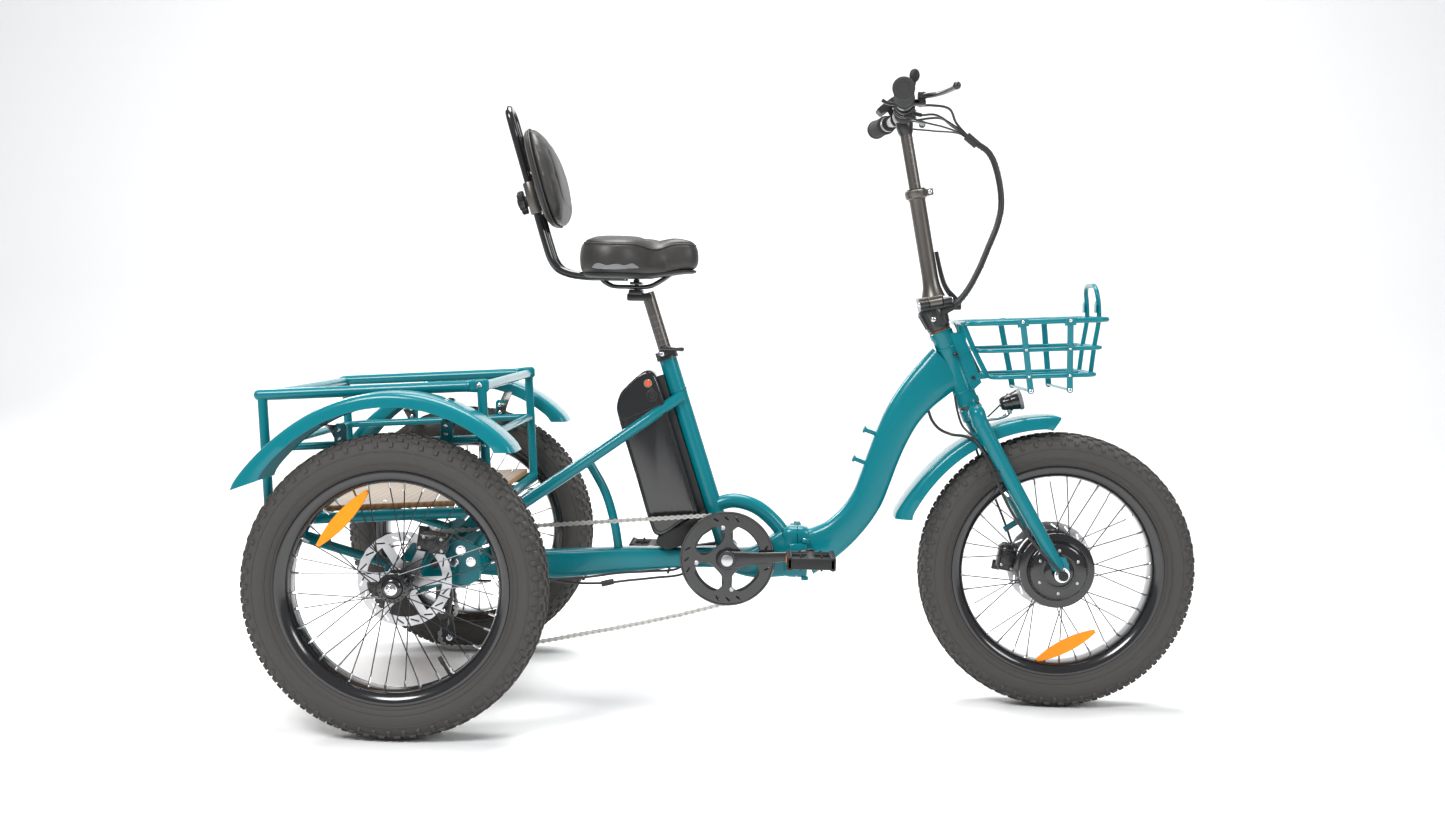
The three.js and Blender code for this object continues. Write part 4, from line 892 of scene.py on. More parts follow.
def disc_caliper(name, x, y, angle, distance, outward, turn, body, cad):
    """Two-piston caliper over a disc, with a cast body and its mounting arm."""
    cx, _, cz = round_axle(x, y, distance, math.radians(angle))
    made = Batch()
    for side in (-1, 1):
        low, high = sorted((side * 2.6, side * 15))
        made.block((cx - 30, y + low, cz - 15), (cx + 26, y + high, cz + 19), 6, steps=3)
        made.lathe((cx - 3, y + side * 14, cz), Y * side, [(0, 14), (2.4, 14), (3.4, 12), (3.4, 6)], 24)
        made.lathe((cx + 20, y + side * 14, cz + 8), Y * side, [(0, 6), (2, 6), (2.6, 5)], 16)
    made.block((cx - 24, y - 12, cz + 9), (cx + 22, y + 12, cz + 23), 4)
    arm = sorted((0, -outward * 32))
    made.block((cx - 9, y + arm[0], cz + 10), (cx + 9, y + arm[1], cz + 17), 1.5)
    made.block((cx - 34, y - outward * 12 - 3, cz + 10), (cx - 14, y - outward * 12 + 3, cz + 28), 2)
    made.turned(turn, (cx, 0, cz))
    piece(name, made, SATIN, body, [cad])
    pins = Batch()
    for u, w in ((-23, -8), (18, -8), (14, 13), (-18, 13)):
        pins.bolt((cx + u, y - 15, cz + w), -Y, 3.2, 2.5)
        pins.bolt((cx + u, y + 15, cz + w), Y, 3.2, 2.5)
    pins.turned(turn, (cx, 0, cz))
    piece(name + "_bolts", pins, STEEL, body)


for suffix, side in (("right", -1), ("left", 1)):
    disc_caliper("caliper_rear_" + suffix, 0, side * 305, 50.7, 85.3, side, 8, "rear",
                 "brake_caliper_rear_" + suffix)
disc_caliper("caliper_front", WHEELBASE, 59, 170.4, 85.2, -1, -80.4, "steering",
             "brake_caliper_front")


def tail_reflector():
    made = Batch()
    made.lathe((-262, -150, 330), -X, [(0, 20), (8, 21), (10, 19), (11, 12)], 32)
    piece("tail_reflector", made, RED_LENS, "rear")
    holder = Batch()
    holder.lathe((-254, -150, 330), -X, [(0, 12), (2, 20), (9, 22), (9, 20.6)], 32)
    holder.bar([(-252, -150, 330), (-246, -150, 346)], 14, 4, 1, up=Y)
    piece("tail_reflector_holder", holder, PLASTIC, "rear")


tail_reflector()


# ---------------------------------------------------------------- drive
CHAIN_Y = -58
UPPER_PULLEY = (28, 176)
LOWER_PULLEY = (38, 118)


def chain_path():
    """Positions of the chain's centre line in the XZ plane, evenly spaced by half links."""

    def arc(x, z, radius, first, last, count):
        for i in range(count + 1):
            a = math.radians(first + (last - first) * i / count)
            yield Vector((x + radius * math.cos(a), 0, z + radius * math.sin(a)))

    line = [
        *arc(589, 290, 87.5, -78, 94, 24),
        *arc(0, AXLE_Z, 51.5, 94, 318, 20),
        *arc(*UPPER_PULLEY, 22, 20, -30, 4),
        *arc(*LOWER_PULLEY, 22, 150, 280, 10),
        Vector((130, 0, 98)), Vector((218, 0, 112)), Vector((310, 0, 131)),
        Vector((400, 0, 150)), Vector((500, 0, 174)),
    ]
    line.append(line[0].copy())
    total = sum((b - a).length for a, b in zip(line, line[1:]))
    count = 2 * round(total / 25.4)
    pitch = total / count
    out = []
    gone = 0.0
    target = 0.0
    for a, b in zip(line, line[1:]):
        span = (b - a).length
        while target <= gone + span and len(out) < count:
            out.append(a.lerp(b, (target - gone) / span))
            target += pitch
        gone += span
    return out


def chain():
    made = Batch()
    points = chain_path()
    count = len(points)
    for i, p in enumerate(points):
        q = points[(i + 1) % count]
        along = (q - p).normalized()
        across = Vector((-along.z, 0, along.x))
        offset = 2.9 if i % 2 else 2.0
        length = (q - p).length
        outline = []
        for u, v in ((0, -1), (-3.6, -0.72), (-4.1, 0), (-3.6, 0.72), (0, 1)):
            outline.append((u, v * 4.6))
        outline.append((length / 2, 2.6))
        for u, v in ((length, 1), (length + 3.6, 0.72), (length + 4.1, 0), (length + 3.6, -0.72),
                     (length, -1)):
            outline.append((u, v * 4.6))
        outline.append((length / 2, -2.6))
        for side in (-1, 1):
            rings = []
            for t in (offset - 0.5, offset + 0.5):
                rings.append([
                    at(*(p + along * u + across * v + Y * (CHAIN_Y + side * t)))
                    for u, v in outline
                ])
            made.rings(rings)
        made.lathe((p.x, CHAIN_Y, p.z), Y, [(-3.4, 1.6), (-1.6, 1.6), (-1.6, 3.6), (1.6, 3.6),
                                            (1.6, 1.6), (3.4, 1.6)], 8)
    piece("chain_links", made, CHAIN_STEEL, "rear", ["chain"])


chain()


def toothed(teeth, root, tip):
    """Outline of a sprocket."""
    out = []
    for i in range(teeth):
        for part, r in ((0.0, root), (0.22, root), (0.4, tip), (0.56, tip), (0.74, root)):
            out.append(polar(r, 2 * math.pi * (i + part) / teeth))
    return out


def chainset():
    guard = Batch()
    windows = []
    for i in range(4):
        c, s = polar(1, math.radians(45 + 90 * i))
        window = [(50 + u, v) for u, v in oval(20, 33, 28, 2.6)]
        windows.append([(u * c - v * s, u * s + v * c) for u, v in window])
        for k in (-1, 0, 1):
            a = math.radians(90 * i + 15 * k)
            windows.append(capsule(polar(78, a), polar(84, a + 0.07), 2.2))
    centre = (BB[0], -64.5, BB[2])
    guard.plate([circle(93, 96), *windows], centre, 3, bevel=0.9)
    guard.lathe(BB, -Y, [(62, 88), (68, 91), (68, 93.5), (66, 94.5), (61, 92)], 96, loop=True)
    piece("chain_guard", guard, GLOSS, "crank", ["chainring"])
    ring = Batch()
    ring.plate([toothed(44, 84, 91), circle(66, 64)], (BB[0], CHAIN_Y, BB[2]), 2.4, bevel=0.3)
    for i in range(4):
        c, s = polar(1, math.radians(90 * i))
        arm = [(20, -11), (70, -9), (70, 9), (20, 11)]
        ring.plate([[(u * c - v * s, u * s + v * c) for u, v in arm]],
                   (BB[0], CHAIN_Y - 1, BB[2]), 3, bevel=0.6)
    ring.lathe(BB, -Y, [(52, 20), (53, 24), (64, 24), (70, 20)], 40)
    piece("chainring_teeth", ring, SATIN, "crank")
    bolts = Batch()
    for i in range(4):
        a = math.radians(90 * i + 9)
        bolts.bolt((BB[0] + 62 * math.cos(a), -66, BB[2] + 62 * math.sin(a)), -Y, 4.6, 2.6)
    piece("chainring_bolts", bolts, STEEL, "crank")


chainset()

RISE = 4.6
CRANK_ARM = 163
PEDAL_X, PEDAL_Z = polar(CRANK_ARM, math.radians(RISE))


def crank(suffix, side):
    reach = -side
    made = Batch()
    y = side * 79.5
    stations = [(-16, 16), (0, 34), (24, 31), (60, 24), (110, 20), (140, 20), (163, 25), (176, 12)]
    rings = []
    points = through([Vector((u, d, 0)) for u, d in stations], 5)
    for p in points:
        thick = 15 - 3 * math.sin(math.pi * min(max(p.x / CRANK_ARM, 0), 1))
        rings.append([at(BB[0] + reach * p.x, y + v, BB[2] + u)
                      for u, v in oval(p.y / 2, thick / 2, 20, 3.2)])
    made.rings(rings)
    made.lathe((BB[0], 0, BB[2]), Y * side, [(72, 17), (73, 19), (86, 19), (88, 17), (88, 10)], 36)
    pedal_eye = (BB[0] + reach * CRANK_ARM, 0, BB[2])
    made.lathe(pedal_eye, Y * side, [(72, 12), (73, 13.5), (86, 13.5), (87.4, 12)], 28)
    made.turned(-RISE, BB)
    piece("crank_" + suffix, made, SATIN, "crank", ["crank_arm_" + suffix])
    axle = Batch()
    axle.lathe(pedal_eye, Y * side, [(84, 7), (93, 7), (94, 5), (184, 4.4)], 16)
    axle.turned(-RISE, BB)
    axle.lathe(BB, Y * side, [(0, 8.6), (88, 8.6), (88.6, 11.5), (91, 11.5), (92, 9)], 24)
    piece("pedal_axle_" + suffix, axle, STEEL, "crank",
          ["crank_spindle"] if side < 0 else [])
    pedal = Batch()
    px, pz = BB[0] + reach * PEDAL_X, BB[2] + reach * PEDAL_Z
    low, high = sorted((side * 99, side * 190))
    for u in (-47, 36):
        pedal.block((px + u, low, pz - 13), (px + u + 11, high, pz + 13), 2.5)
    for v in (low, high - 9):
        pedal.block((px - 46, v, pz - 11), (px + 46, v + 9, pz + 11), 2.5)
    pedal.lathe((px, 0, pz), Y, [(low + 2, 9), (low + 4, 11), (high - 4, 11), (high - 2, 9)], 28)
    middle = (low + high) / 2
    for v in (-22, 22):
        pedal.block((px - 40, middle + v - 3, pz - 10), (px + 40, middle + v + 3, pz + 10), 1.5)
    for u in (-42, -20, 20, 42):
        for v in (-34, -11, 11, 34):
            for w in (-13, 13):
                pedal.ball((px + u, middle + v, pz + w), 2.6, 8)
    piece("pedal_platform_" + suffix, pedal, PLASTIC, "pedal_" + suffix, ["pedal_" + suffix])
    marks = Batch()
    for u in (-47.6, 45.6):
        marks.block((px + u, middle - 24, pz - 6), (px + u + 2, middle + 24, pz + 6), 0.6)
    piece("pedal_reflectors_" + suffix, marks, AMBER, "pedal_" + suffix)


crank("right", -1)
crank("left", 1)


def cassette():
    made = Batch()
    for teeth, tip, y in ((28, 57, -48.8), (25, 51.6, -53.4), (22, 46.5, -58), (19, 40.6, -62.6)):
        made.plate([toothed(teeth, tip - 5, tip), circle(22, 28)], (0, y, AXLE_Z), 1.7, bevel=0.2)
    made.lathe((0, 0, AXLE_Z), -Y, [(46.8, 10), (46.8, 24), (64, 24), (67, 19), (67, 10)], 40)
    piece("sprocket_stack", made, DARK_STEEL, "cassette", ["cassette"])


def derailleur():
    body = Batch()
    y = CHAIN_Y - 26
    body.plate([[(16, 238), (30, 246), (44, 236), (46, 200), (40, 166), (28, 158), (16, 166),
                 (14, 200)]], (0, y + 0.5, 0), 9, bevel=1.5)
    body.plate([[(22, 226), (36, 228), (38, 186), (20, 184)]], (0, y - 5.5, 0), 5, bevel=1.2)
    body.lathe((30, 0, 232), -Y, [(-y - 6, 9), (-y + 11.5, 9)], 28)
    body.lathe((UPPER_PULLEY[0], 0, UPPER_PULLEY[1]), -Y, [(-y - 6, 11), (-y + 6, 11),
                                                        (-y + 8, 8)], 28)
    piece("derailleur_links", body, SATIN, "rear", ["derailleur_body"])
    silver = Batch()
    silver.bolt((30, y - 12, 232), -Y, 6.5, 3)
    silver.bolt((UPPER_PULLEY[0], y - 8, UPPER_PULLEY[1]), -Y, 6, 3)
    silver.bolt((40, y - 8, 205), -Y, 3.4, 2.4)
    piece("derailleur_bolts", silver, CHROME, "rear")

    cage = Batch()
    outline = []
    for (x, z), first in ((UPPER_PULLEY, -5), (LOWER_PULLEY, 175)):
        for degrees in range(first, first + 181, 20):
            u, v = polar(13, math.radians(degrees))
            outline.append((x + u, z + v))
    slot = [(30, 160), (36, 160), (40, 134), (34, 134)]
    cage.plate([outline, slot], (0, CHAIN_Y - 10.6, 0), 2.4, bevel=0.5)
    piece("derailleur_cage_plate", cage, SATIN, "derailleur", ["derailleur_cage"])
    wheels = Batch()
    for x, z in (UPPER_PULLEY, LOWER_PULLEY):
        wheels.plate([toothed(11, 15, 19.5), circle(4, 16)], (x, CHAIN_Y, z), 2.4, bevel=0.3)
        wheels.lathe((x, 0, z), -Y, [(54.5, 8), (54.5, 11), (61.5, 11), (61.5, 8)], 24)
    piece("jockey_wheels", wheels, PLASTIC, "derailleur")
    pins = Batch()
    for x, z in (UPPER_PULLEY, LOWER_PULLEY):
        pins.lathe((x, 0, z), -Y, [(54, 4), (70, 4), (70.6, 6), (72, 6), (73, 4)], 16)
    piece("jockey_pins", pins, CHROME, "derailleur")


cassette()
derailleur()


# ---------------------------------------------------------------- soft pads
def settle(made, voxel, cap, floor):
    """Swells a soft form with a short cloth run, holding its base, then smooths it."""
    bpy.context.view_layer.objects.active = made
    bpy.context.view_layer.update()
    remesh = made.modifiers.new("even", "REMESH")
    remesh.mode = "VOXEL"
    remesh.voxel_size = voxel
    remesh.use_smooth_shade = True
    evened = bpy.data.meshes.new_from_object(
        made.evaluated_get(bpy.context.evaluated_depsgraph_get())
    )
    made.modifiers.clear()
    made.data = evened
    start = np.array([v.co for v in evened.vertices])
    held = made.vertex_groups.new(name="held")
    held.add([i for i, p in enumerate(start) if floor(p)], 1.0, "REPLACE")
    cloth = made.modifiers.new("swell", "CLOTH")
    cloth.settings.quality = 5
    cloth.settings.mass = 0.3
    cloth.settings.use_pressure = True
    cloth.settings.uniform_pressure_force = 4
    cloth.settings.effector_weights.gravity = 0
    cloth.settings.vertex_group_mass = "held"
    cloth.point_cache.frame_start = 1
    cloth.point_cache.frame_end = 20
    for step in range(1, 21):
        bpy.context.scene.frame_set(step)
    settled = made.evaluated_get(bpy.context.evaluated_depsgraph_get())
    end = np.array([v.co for v in settled.data.vertices])
    made.modifiers.clear()
    bpy.context.scene.frame_set(1)
    move = end - start
    far = np.maximum(np.linalg.norm(move, axis=1, keepdims=True), 1e-9)
    move *= np.minimum(1.0, cap / far)
    evened.vertices.foreach_set("co", (start + move).astype(np.float32).ravel())
    evened.update()
    relax = made.modifiers.new("relax", "SMOOTH")
    relax.factor = 0.6
    relax.iterations = 6
    finer = made.modifiers.new("finer", "SUBSURF")
    finer.levels = 1
    smooth = bpy.data.meshes.new_from_object(
        made.evaluated_get(bpy.context.evaluated_depsgraph_get())
    )
    made.modifiers.clear()
    made.data = smooth
    smooth.shade_smooth()


def cling(made, points, lift):
    """Moves positions onto a mesh, lift metres proud of it."""
    bm = bmesh.new()
    bm.from_mesh(made.data)
    tree = BVHTree.FromBMesh(bm)
    bm.free()
    out = []
    for p in points:
        spot, normal, _, _ = tree.find_nearest(p)
        out.append(spot + normal * lift)
    return out


def crease(made, lines, width, depth):
    """Presses sewn channels into a mesh along polylines of positions."""
    mesh = made.data
    co = np.array([v.co for v in mesh.vertices])
    normal = np.array([v.normal for v in mesh.vertices])
    nearest = np.full(len(co), 1e9)
    for line in lines:
        for a, b in zip(line, line[1:]):
            a, b = np.array(a), np.array(b)
            d = b - a
            t = np.clip(((co - a) @ d) / max(d @ d, 1e-12), 0, 1)
            nearest = np.minimum(nearest, np.linalg.norm(co - (a + t[:, None] * d), axis=1))
    push = depth * np.exp(-((nearest / width) ** 2))
    co -= normal * push[:, None]
    mesh.vertices.foreach_set("co", co.astype(np.float32).ravel())
    mesh.update()


SADDLE_HALF = [(280, 0), (284, 44), (292, 82), (312, 108), (344, 121), (378, 116), (408, 96),
               (432, 70), (456, 50), (484, 40), (508, 30), (519, 16), (521, 0)]


def saddle_loop(grow, z):
    """The saddle's plan at one height, shrunk by grow millimetres."""
    half = [at(x, y, 0) for x, y in SADDLE_HALF]
    other = [at(x, -y, 0) for x, y in reversed(SADDLE_HALF[1:-1])]
    ring = through([*half, *other, half[0].copy()], 6)[:-1]
    centre = sum(ring, Vector()) / len(ring)
    out = []
    for i, p in enumerate(ring):
        along = (ring[(i + 1) % len(ring)] - ring[i - 1]).normalized()
        inward = Vector((along.y, -along.x, 0))
        if inward.dot(centre - p) < 0:
            inward = -inward
        q = p + inward * (grow / 1000)
        q.z = z(q) / 1000 if callable(z) else z / 1000
        out.append(q)
    return out


SADDLE_RINGS = ((20, 0), (10, 0.02), (5, 0.09), (2, 0.22), (0.5, 0.42), (1.5, 0.62), (4, 0.78),
                (9, 0.89), (16, 0.955), (25, 0.985), (36, 1))


def saddle_top(p):
    """Height of the cushion's crown: a dip between the wings and the nose."""
    x = (p.x - AXLE_X) * 1000
    y = p.y * 1000
    return 921 - 10 * math.exp(-(((x - 436) / 24) ** 2)) - 0.0004 * y * y - 0.05 * max(0, x - 470)


def saddle_level(t):
    """Height at a fraction t between the cushion's lower edge and its crown."""
    def level(p):
        x = (p.x - AXLE_X) * 1000
        low = 845 + 11 * min(1, max(0, (x - 420) / 70))
        return low + t * (saddle_top(p) - low)

    return level


def saddle():
    base = Batch()
    base.rings([saddle_loop(grow, saddle_level(t)) for grow, t in SADDLE_RINGS])
    cushion = piece("saddle_seat_cushion", base, LEATHER, "seat", ["saddle_cushion"])
    settle(cushion, 0.005, 0.006, lambda p: p[2] < 0.853)
    hem = saddle_loop(7, saddle_level(0.88))
    middle = [tuple(at(x, 0, 920)) for x in range(300, 500, 8)]
    left = [tuple(at(x, 34 + (x - 300) * -0.08, 918)) for x in range(306, 470, 8)]
    right = [(x, -y, z) for x, y, z in left]
    crease(cushion, [hem + hem[:1], left, right], 0.0035, 0.0022)
    crease(cushion, [middle], 0.011, 0.004)
    cord = Batch()
    cord.sweep(cling(cushion, hem, 0.0006), circle(1.7, 10), closed=True)
    piece("saddle_piping", cord, PIPING, "seat")

    pan = Batch()
    pan.rings([saddle_loop(26, saddle_level(-0.06)), saddle_loop(14, saddle_level(-0.05)),
               saddle_loop(8, saddle_level(-0.01)), saddle_loop(7, saddle_level(0.05)),
               saddle_loop(12, saddle_level(0.07))])
    piece("saddle_pan", pan, PLASTIC, "seat", ["saddle_frame"])
    rails = Batch()
    for y in (-20, 20):
        rails.tube(
            [(322, y * 1.6, 850), (328, y * 1.3, 836), (344, y, 826), (356, y, 824), (380, y, 824),
             (408, y, 824), (424, y, 827), (444, y * 0.8, 838), (464, y * 0.5, 852)],
            4.2, 16,
        )
    piece("saddle_rails", rails, GLOSS, "seat")
    vents = Batch()
    for side in (-1, 1):
        low, high = [], []
        for k in range(31):
            t = k / 30
            wave = 3 + 6.5 * min(1, 9 * t, 9 * (1 - t)) - 1.8 * math.cos(6 * math.pi * t)
            low.append(at(302 + 128 * t, side * 130, 853))
            high.append(at(302 + 128 * t, side * 130, 853 + wave))
        inner = cling(cushion, low, 0.0012)
        outer = cling(cushion, high, 0.0012)
        strip = [[p, p.lerp(q, 0.5), q] for p, q in zip(inner, outer)]
        made = [[vents.bm.verts.new(p) for p in row] for row in strip]
        for a, b in zip(made, made[1:]):
            for k in range(2):
                vents.bm.faces.new((a[k], a[k + 1], b[k + 1], b[k]))
        vents.sweep(inner + outer[::-1], circle(0.9, 8), closed=True)
    piece("saddle_side_vents", vents, GREY, "seat")


saddle()


def seatpost():
    made = Batch()
    made.tube([on_seat(SEAT_RUN - 208), (416.5, 0, 813)], 13, 32)
    piece("seatpost_tube", made, GUNMETAL, "seat", ["seatpost"])
    clamp = Batch()
    clamp.block((376, -17, 796), (426, 17, 812), 4)
    clamp.block((380, -27, 808), (408, 27, 819), 3)
    clamp.block((382, -27, 829), (406, 27, 834), 2)
    clamp.lathe((394, 0, 0), Z, [(808, 4), (842, 4)], 16)
    clamp.hexagon((394, 0, 834), Z, 7, 5)
    piece("saddle_clamp", clamp, SATIN, "seat")
    marks = Batch()
    for k in range(6):
        marks.lathe(on_seat(SEAT_RUN + 24 + k * 12), SEAT_UP,
                    [(-0.4, 13.1), (0.4, 13.1), (0.4, 12.6), (-0.4, 12.6)], 32, loop=True)
    piece("seatpost_height_marks", marks, GREY, "seat")
    collar = Batch()
    top = on_seat(SEAT_RUN)
    collar.lathe(top, SEAT_UP, [(-6, 17.8), (-6, 21), (-5, 22), (0, 22), (2, 21.4), (4, 22),
                                (11, 22), (12, 20.6), (12, 14), (2, 14), (2, 17.8)], 48, loop=True)
    collar.block((442, -34, 688), (457, -19, 697.5), 2.5)
    piece("seat_clamp_collar", collar, SATIN, "rear", ["seat_collar"])
    lever = Batch()
    lever.loft([(447, 703, 9, 9, -32), (460, 703, 8.5, 8, -32), (478, 702, 7, 8, -32.5),
                (490, 702, 9, 8, -33), (494, 702, 4, 6, -33)], per=5, sides=16, power=2.4)
    piece("seat_quick_lever", lever, GLOSS, "seat_lever", ["seat_lever"])
    nut = Batch()
    nut.bolt((449.5, -35, 692), -Y, 5, 3)
    piece("seat_clamp_bolt", nut, CHROME, "rear")


seatpost()

HOOP_FOOT = Vector((232, 0, 850))
HOOP_RUN = (Vector((135, 0, 1171)) - HOOP_FOOT).length
HOOP_UP = (Vector((135, 0, 1171)) - HOOP_FOOT) / HOOP_RUN
HOOP_FRONT = Vector((HOOP_UP.z, 0, -HOOP_UP.x))


def on_hoop(s, forward=0.0, y=0.0):
    """A point s up the backrest hoop, forward of its tubes."""
    return tuple(HOOP_FOOT + HOOP_UP * s + HOOP_FRONT * forward + Vector((0, y, 0)))


PAD_RINGS = ((6, 0), (2, 0.1), (0, 0.3), (1, 0.52), (4, 0.72), (9, 0.87), (18, 0.96), (34, 1),
             (60, 1.02))


def pad_loop(grow, depth, t=0.0):
    """The pad's outline, shrunk by grow, at a depth plus the fraction t of its fullness."""
    low, high, width = 84 + grow, 286 - grow, 115 - grow
    middle, tall = (low + high) / 2, (high - low) / 2
    ring = []
    for u, v in oval(width, tall, 72, 3.0):
        taper = 1 - 0.1 * (v / tall)
        full = np.interp(middle + v, (80, 92, 112, 160, 210, 250, 272, 288),
                         (12, 20, 27, 30, 29, 24, 18, 10))
        ring.append(at(*on_hoop(middle + v, depth + t * float(full), u * taper)))
    return ring


BRACKET_RISE = 152


HOOP_HALF = 33


def backrest_hoop():
    hoop = Batch()
    half = [(374, 843.5), (330, 843.5), (292, 843.5)]

    def leg(y):
        rise = [on_hoop(s, f, y) for s, f in ((-12, 30), (4, 10), (24, 2), (60, 0), (140, 0),
                                              (240, 0), (HOOP_RUN - 34, 0))]
        return [(x, y, z) for x, z in half] + rise

    crown = [on_hoop(HOOP_RUN - down, 0, HOOP_HALF * part)
             for down, part in ((12, -0.86), (2, -0.5), (0, 0), (2, 0.5), (12, 0.86))]
    hoop.tube([*leg(-HOOP_HALF), *crown, *reversed(leg(HOOP_HALF))], 8, 20)
    hoop.block((353, -HOOP_HALF, 838), (367, HOOP_HALF, 849), 3)
    piece("backrest_hoop_tube", hoop, GLOSS, "seat", ["backrest_hoop"])
    rivets = Batch()
    for y in (-HOOP_HALF, HOOP_HALF):
        for x in (316, 360):
            rivets.bolt((x, y, 850.5), Z, 5, 2.4)
    piece("backrest_hoop_bolts", rivets, CHROME, "seat")


def backrest_bracket():
    sleeves = Batch()
    for y in (-HOOP_HALF, HOOP_HALF):
        sleeves.lathe(on_hoop(0, 0, y), HOOP_UP, [(120, 9), (120, 11.5), (122, 12.5), (182, 12.5),
                                                (184, 11.5), (184, 9)], 36, loop=True)
    piece("backrest_sleeves", sleeves, GUNMETAL, "backrest", ["backrest_bracket"])
    bracket = Batch()
    bracket.stack(lambda u, v, f: on_hoop(BRACKET_RISE + v, f, u), rounded(54, 50, 6),
                  ((-9, 0.93), (-7, 1), (7, 1), (9, 0.93)))
    bracket.stack(lambda u, v, f: on_hoop(160 + v, f, u), rounded(104, 104, 14),
                  ((12.4, 0.97), (13, 1), (15.6, 1), (16.2, 0.97)))
    for y in (-HOOP_HALF, HOOP_HALF):
        bracket.stack(lambda u, v, f: on_hoop(BRACKET_RISE + v, f, y + u), rounded(16, 40, 3),
                      ((9.5, 1), (13, 1)))
    piece("backrest_bracket_plate", bracket, SATIN, "backrest")
    studs = Batch()
    for u, v in ((-40, 200), (40, 200), (-40, 118), (40, 118)):
        studs.bolt(on_hoop(v, 12.4, u), -HOOP_FRONT, 4.5, 3)
    piece("backrest_bracket_bolts", studs, CHROME, "backrest")


def backrest_knob():
    knob = Batch()
    turns = [2 * math.pi * k / 80 for k in range(80)]
    star = [polar(20.5 + 4.6 * math.cos(5 * a), a) for a in turns]
    knob.stack(lambda u, v, f: on_hoop(BRACKET_RISE + v, f, u), star,
               ((-20, 0.9), (-21.4, 1), (-31, 1), (-33, 0.9)))
    for profile in ([(15.4, 8), (15.4, 11), (21, 11)], [(32, 9), (35, 9), (36, 7.5)]):
        knob.lathe(on_hoop(BRACKET_RISE), -HOOP_FRONT, profile, 24)
    piece("backrest_star_knob", knob, PLASTIC, "backrest_knob", ["backrest_knob"])


def backrest_pad():
    shell = Batch()
    shell.rings([pad_loop(22, 17.5), pad_loop(9, 18.6), pad_loop(3, 22), pad_loop(1, 27),
                 pad_loop(3, 30)])
    piece("backrest_shell", shell, LEATHER, "backrest")
    base = Batch()
    base.rings([pad_loop(grow, 31, t) for grow, t in PAD_RINGS])
    pad = piece("backrest_cushion", base, LEATHER, "backrest", ["backrest_pad"])
    front = np.array(HOOP_FRONT)
    origin = np.array(at(*on_hoop(0)))
    settle(pad, 0.005, 0.006, lambda p: (np.array(p) - origin) @ front < 0.0335)
    panel = pad_loop(34, 31, 1)
    crease(pad, [panel + panel[:1]], 0.004, 0.0026)
    cord = Batch()
    cord.sweep(pad_loop(1.5, 30.6), circle(1.9, 10), closed=True)
    piece("backrest_piping", cord, PIPING, "backrest")


backrest_hoop()
backrest_bracket()
backrest_knob()
backrest_pad()


# ---------------------------------------------------------------- battery
def battery():
    dock = Batch()
    rail = [on_seat(96, 17.6), on_seat(96, 29), on_seat(384, 29), on_seat(384, 17.6)]
    dock.plate([[(p[0], p[2]) for p in rail]], (0, 0, 0), 38, bevel=1.2)
    foot = [on_seat(62, 19), on_seat(50, 60), on_seat(50, 112), on_seat(64, 126), on_seat(74, 122),
            on_seat(95, 30), on_seat(100, 19)]
    dock.plate([[(p[0], p[2]) for p in foot]], (0, 0, 0), 76, bevel=3)
    piece("battery_mount", dock, PLASTIC, "rear", ["battery_dock"])
    made = Batch()
    path = through([Vector(p + (0,)) for p in (
        (100, 29.8), (250, 29.8), (380, 29.8), (396, 34), (403, 44), (400, 64), (388, 90),
        (374, 110), (352, 124), (340, 126.5), (200, 128.5), (96, 129.5), (84, 126), (78, 114),
        (90, 66), (97, 34))], 4)
    centre = sum(path, Vector()) / len(path)

    def outline(along, across, y):
        """The case's outline, scaled about its middle along and across the seat tube."""
        return [at(*on_seat(centre.x + (p.x - centre.x) * along,
                            centre.y + (p.y - centre.y) * across, y)) for p in path]

    made.rings([outline(1 - (1 - shrink) * 0.42, shrink, y) for y, shrink in (
        (-40, 0.9), (-39.3, 0.94), (-37, 0.975), (-32, 1), (32, 1), (37, 0.975), (39.3, 0.94),
        (40, 0.9))])
    piece("battery_shell", made, GLOSS, "battery", ["battery_case"])
    trim = Batch()
    for y in (-40.6, 40.6):
        trim.sweep(outline(0.955, 0.86, y), circle(0.9, 8), closed=True)
    for y in (-40.4, 40.4):
        trim.tube([on_seat(330, 36, y), on_seat(326, 80, y), on_seat(322, 120, y)], 0.8, 8)
    lock = on_seat(352, 50, 0)
    trim.lathe(lock, -Y, [(39, 7.6), (39, 12.4), (41.6, 12.4), (42.4, 11), (42.4, 7.6)], 36, loop=True)
    trim.block((lock[0] - 5, -42, lock[2] + 4), (lock[0] + 5, -39.4, lock[2] + 17), 1.2)
    piece("battery_trim", trim, PLASTIC, "battery")
    button = Batch()
    spot = on_seat(378, 50, 0)
    button.lathe(spot, -Y, [(34, 6.2), (41.8, 6.2), (43, 5), (43.2, 2.4)], 32)
    piece("battery_power_button", button, RED, "battery_button", ["battery_button"])
    ring = Batch()
    ring.lathe(spot, -Y, [(39, 6.6), (39, 8.4), (41, 8.4), (41.8, 7.6), (41.8, 6.6)], 36, loop=True)
    piece("battery_button_ring", ring, STEEL, "battery")
    key = Batch()
    key.lathe(lock, -Y, [(30, 7), (41.8, 7), (42.6, 6), (42.6, 2.4), (41, 2.4)], 28)
    key.block((lock[0] - 1, -44.4, lock[2] - 5.4), (lock[0] + 1, -41, lock[2] + 5.4), 0.6)
    piece("battery_lock_barrel", key, SATIN, "battery_key", ["battery_key"])


battery()


